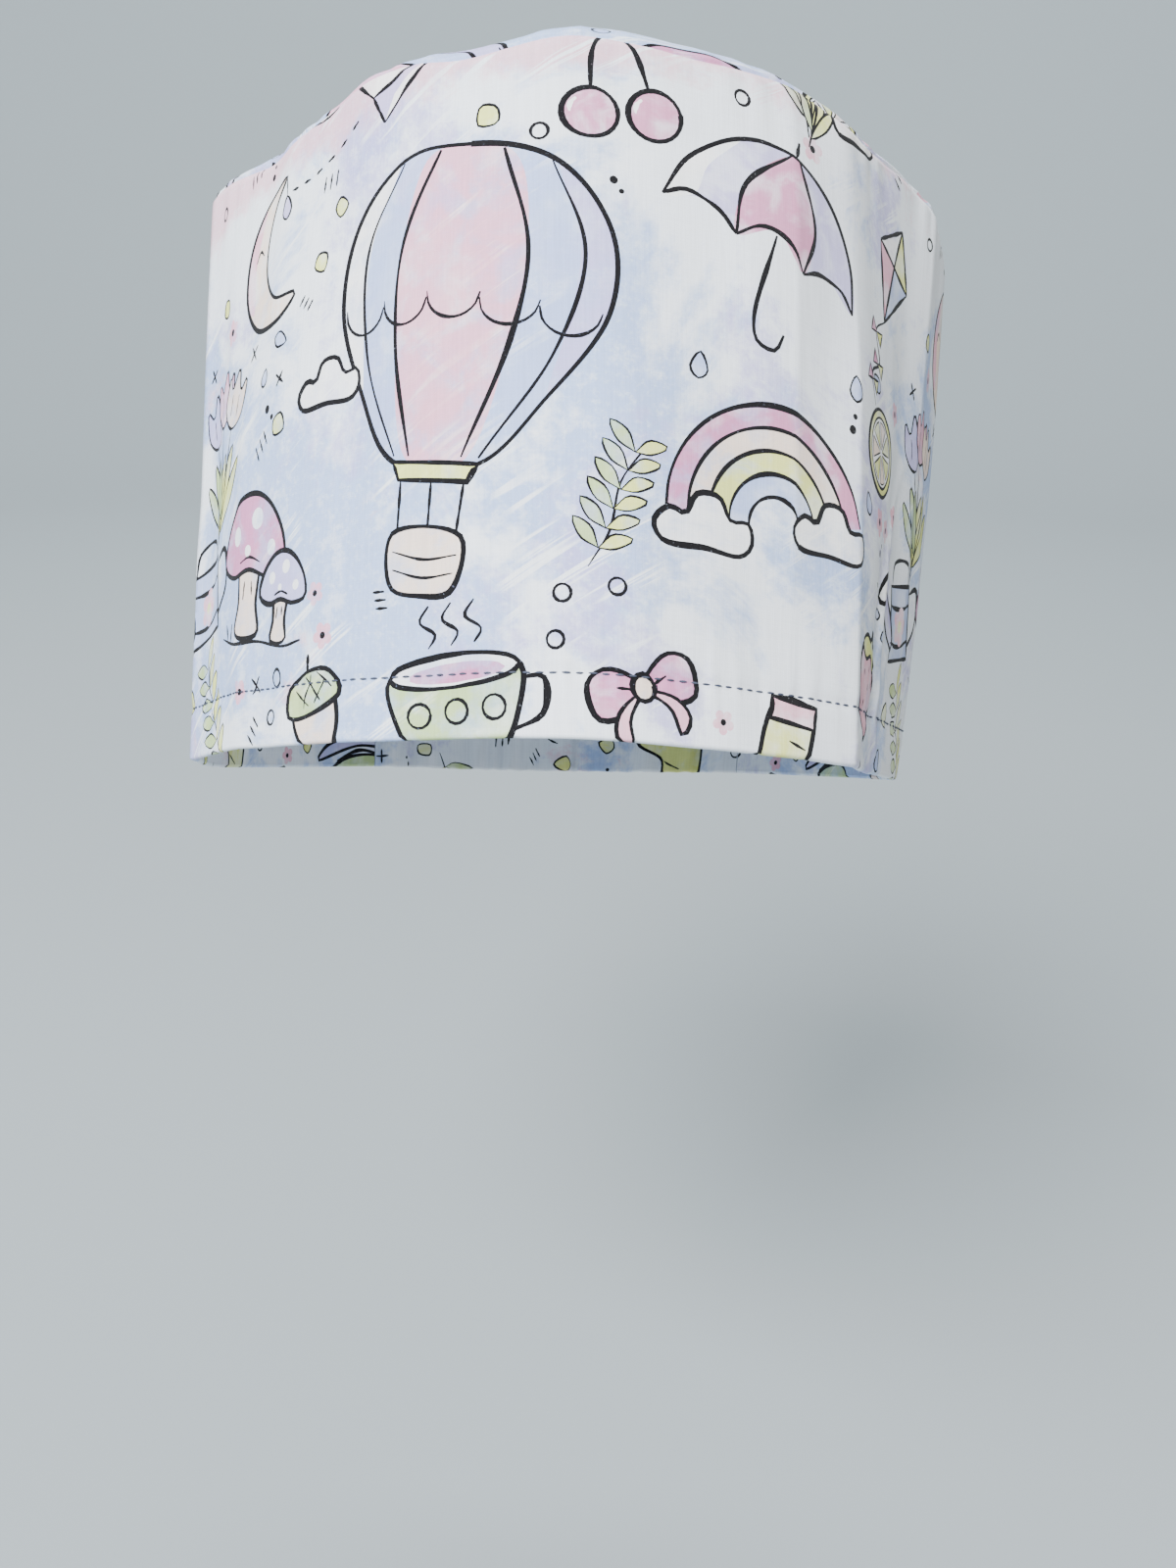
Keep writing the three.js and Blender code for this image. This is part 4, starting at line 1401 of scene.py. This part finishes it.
class SewCrownPanel(bpy.types.Operator):
    """Sew the crown over the top and down the back to the casing"""

    bl_idname = "scrub_cap.sew_crown_panel"
    bl_label = "Sew Crown Panel"

    def execute(self, context):
        cloth = context.scene.cap_cloth
        outline, grid = crown_cut(cloth.triangle / MM * CROWN_STEP_SHARE)
        marks = print_over(outline, CROWN_PRINT_START, CROWN_PRINT_TURN)
        piece = sew(
            "crown_panel_cloth", outline, grid, crown_cloth, 1, "printed cotton", marks, CROWN_CLOTH_START
        )
        placed(piece, "crown_panel")
        return {"FINISHED"}


class SewHemFacing(bpy.types.Operator):
    """Sew the turned-up part of the hem, inside the front panel with its print to the head"""

    bl_idname = "scrub_cap.sew_hem_facing"
    bl_label = "Sew Hem Facing"

    def execute(self, context):
        cloth = context.scene.cap_cloth
        radius = cloth.turn_radius / MM
        turned = radius * (1 - math.pi)
        low, high = LEFT_SEAM + SIDE_GAP, RIGHT_SEAM - SIDE_GAP
        bottom = turned - cloth.facing_depth / MM + radius
        outline, grid = strip_cut(low, high, bottom, FACING_STEP, turned - FACING_GAP)
        marks = print_over(outline, BAND_PRINT_START)
        # The facing is sewn in the hem cotton, whose darker tone is painted shade
        piece = sew("hem_facing_cloth", outline, grid, band_place(radius), 6, "hem cotton", marks)
        placed(piece, "hem_facing")
        return {"FINISHED"}


class SewNapeCasing(bpy.types.Operator):
    """Sew the gathered casing at the nape, folded under at its lower edge"""

    bl_idname = "scrub_cap.sew_nape_casing"
    bl_label = "Sew Nape Casing"

    def execute(self, context):
        cloth = context.scene.cap_cloth
        radius = cloth.turn_radius / MM
        turned = radius * (1 - math.pi)
        low, high = RIGHT_SEAM + SIDE_GAP, ROUND + LEFT_SEAM - SIDE_GAP
        rows = tuple(radius * (1 - angle) for angle in (*TURN_ANGLES, math.pi))
        bottom = turned - CASING_HEIGHT + radius + CASING_SPARE
        outline, grid = strip_cut(low, high, bottom, CASING_STEP, rows=rows, side_step=NAPE_STEP)
        marks = print_over(outline, BAND_PRINT_START)
        # The casing is sewn in the hem cotton too, darkened by the same painted shade
        piece = sew("nape_casing_cloth", outline, grid, band_place(radius), 2, "hem cotton", marks)
        placed(piece, "nape_casing")
        return {"FINISHED"}


THREAD_PROUD = 0.22
ROW_ENDS = 1.5


class StitchRows(bpy.types.Operator):
    """Stitch the hem and the casing, with the thread showing outside and inside"""

    bl_idname = "scrub_cap.stitch_rows"
    bl_label = "Stitch Rows"

    def execute(self, context):
        cloth, thread = context.scene.cap_cloth, context.scene.cap_thread
        radius = cloth.turn_radius / MM
        place = band_place(radius)
        proud = -THREAD_PROUD * thread.thread / MM
        front = stations(LEFT_SEAM + ROW_ENDS, RIGHT_SEAM - ROW_ENDS, 1.2)
        back = stations(RIGHT_SEAM + ROW_ENDS, ROUND + LEFT_SEAM - ROW_ENDS, 1.0)
        for name, across, row, seed in (
            ("hem_stitches", front, HEM_DEPTH, 3),
            ("casing_stitches", back, thread.casing_row / MM, 5),
        ):
            inside = radius * (1 - math.pi) - (row - radius)
            paths = [place(across, np.full_like(across, height), proud) for height in (row, inside)]
            placed(stitched(name, paths, seed))
        return {"FINISHED"}


def area_light(name, place, aim, size, power, colour):
    light = bpy.data.lights.new(name, "AREA")
    light.size, light.energy, light.color = size, power, colour
    lamp = bpy.data.objects.new(name, light)
    lamp.location = place
    lamp.rotation_euler = (Vector(aim) - Vector(place)).to_track_quat("-Z", "Y").to_euler()
    bpy.context.scene.collection.objects.link(lamp)


class SetStage(bpy.types.Operator):
    """Set the pale floor and backdrop, the soft light and the camera"""

    bl_idname = "scrub_cap.set_stage"
    bl_label = "Set Stage"

    def execute(self, context):
        settings = context.scene.cap_stage
        wide, rise, bend, turns = 3.4, 3.0, 1.3, 96
        profile = [(0.01, 0.0), (wide - bend, 0.0)]
        profile += [
            (wide - bend + bend * math.sin(turn), bend - bend * math.cos(turn))
            for turn in np.linspace(0, math.pi / 2, 17)[1:]
        ]
        profile.append((wide, rise))
        round_angles = [2 * math.pi * k / turns for k in range(turns)]
        verts = [
            (away * math.cos(angle), away * math.sin(angle), z - settings.drop)
            for away, z in profile
            for angle in round_angles
        ]
        faces = [
            (low + turns + k, low + turns + (k + 1) % turns, low + (k + 1) % turns, low + k)
            for low in range(0, (len(profile) - 1) * turns, turns)
            for k in range(turns)
        ]
        mesh = bpy.data.meshes.new("floor")
        mesh.from_pydata(verts, [], faces + [tuple(range(turns))])
        mesh.shade_smooth()
        material, _, principled = shader_ends("pale floor")
        principled.inputs["Base Color"].default_value = rgba(settings.floor)
        principled.inputs["Roughness"].default_value = 0.95
        mesh.materials.append(material)
        floor = bpy.data.objects.new("floor", mesh)
        context.scene.collection.objects.link(floor)

        aim, far_wall = (0.0, 0.0, 0.05), (0.0, 3.2, 0.4)
        area_light("key light", (-0.8, -1.5, 1.5), aim, 1.1, settings.key, (0.97, 0.985, 1.0))
        area_light("fill light", (1.6, -0.6, 0.5), aim, 1.6, settings.fill, (1.0, 0.82, 0.62))
        area_light("backdrop light", (0.0, 1.0, 2.6), far_wall, 1.4, settings.backdrop, (0.91, 0.97, 1.0))
        world = bpy.data.worlds.new("room")
        world.use_nodes = True
        ambient = next(n for n in world.node_tree.nodes if n.type == "BACKGROUND")
        ambient.inputs[0].default_value = (1.0, 1.0, 1.0, 1.0)
        ambient.inputs[1].default_value = settings.sky
        context.scene.world = world

        camera = bpy.data.cameras.new("camera")
        camera.sensor_width, camera.lens = 36.0, 33.75
        viewer = bpy.data.objects.new("camera", camera)
        viewer.location = (0.0104, -0.343, 0.124)
        tilt = Matrix.Rotation(math.radians(69.2), 4, "X") @ Matrix.Rotation(math.radians(1.0), 4, "Z")
        viewer.rotation_euler = tilt.to_euler()
        context.scene.collection.objects.link(viewer)
        context.scene.camera = viewer
        return {"FINISHED"}


class ScrubCapPanel(bpy.types.Panel):
    """Lists the steps that dress the scrub cap"""

    bl_idname = "VIEW3D_PT_scrub_cap"
    bl_label = "Scrub Cap"
    bl_space_type = "VIEW_3D"
    bl_region_type = "UI"
    bl_category = "Scrub Cap"

    def draw(self, context):
        for step in STEPS:
            self.layout.operator(step.bl_idname)
        for group in SETTINGS:
            box = self.layout.box()
            for name in group.__annotations__:
                box.prop(getattr(context.scene, SETTINGS[group]), name)


STEPS = (SewFrontPanel, SewCrownPanel, SewHemFacing, SewNapeCasing, StitchRows, SetStage)
SETTINGS = {CapClothSettings: "cap_cloth", CapThreadSettings: "cap_thread", CapStageSettings: "cap_stage"}


def register():
    for group, name in SETTINGS.items():
        bpy.utils.register_class(group)
        setattr(bpy.types.Scene, name, bpy.props.PointerProperty(type=group))
    for kind in (*STEPS, ScrubCapPanel):
        bpy.utils.register_class(kind)


def unregister():
    for kind in reversed((*STEPS, ScrubCapPanel)):
        bpy.utils.unregister_class(kind)
    for group, name in SETTINGS.items():
        delattr(bpy.types.Scene, name)
        bpy.utils.unregister_class(group)


def main():
    register()
    bpy.ops.scrub_cap.sew_front_panel()
    bpy.ops.scrub_cap.sew_crown_panel()
    bpy.ops.scrub_cap.sew_hem_facing()
    bpy.ops.scrub_cap.sew_nape_casing()
    bpy.ops.scrub_cap.stitch_rows()
    bpy.ops.scrub_cap.set_stage()


if __name__ == "__main__":
    main()
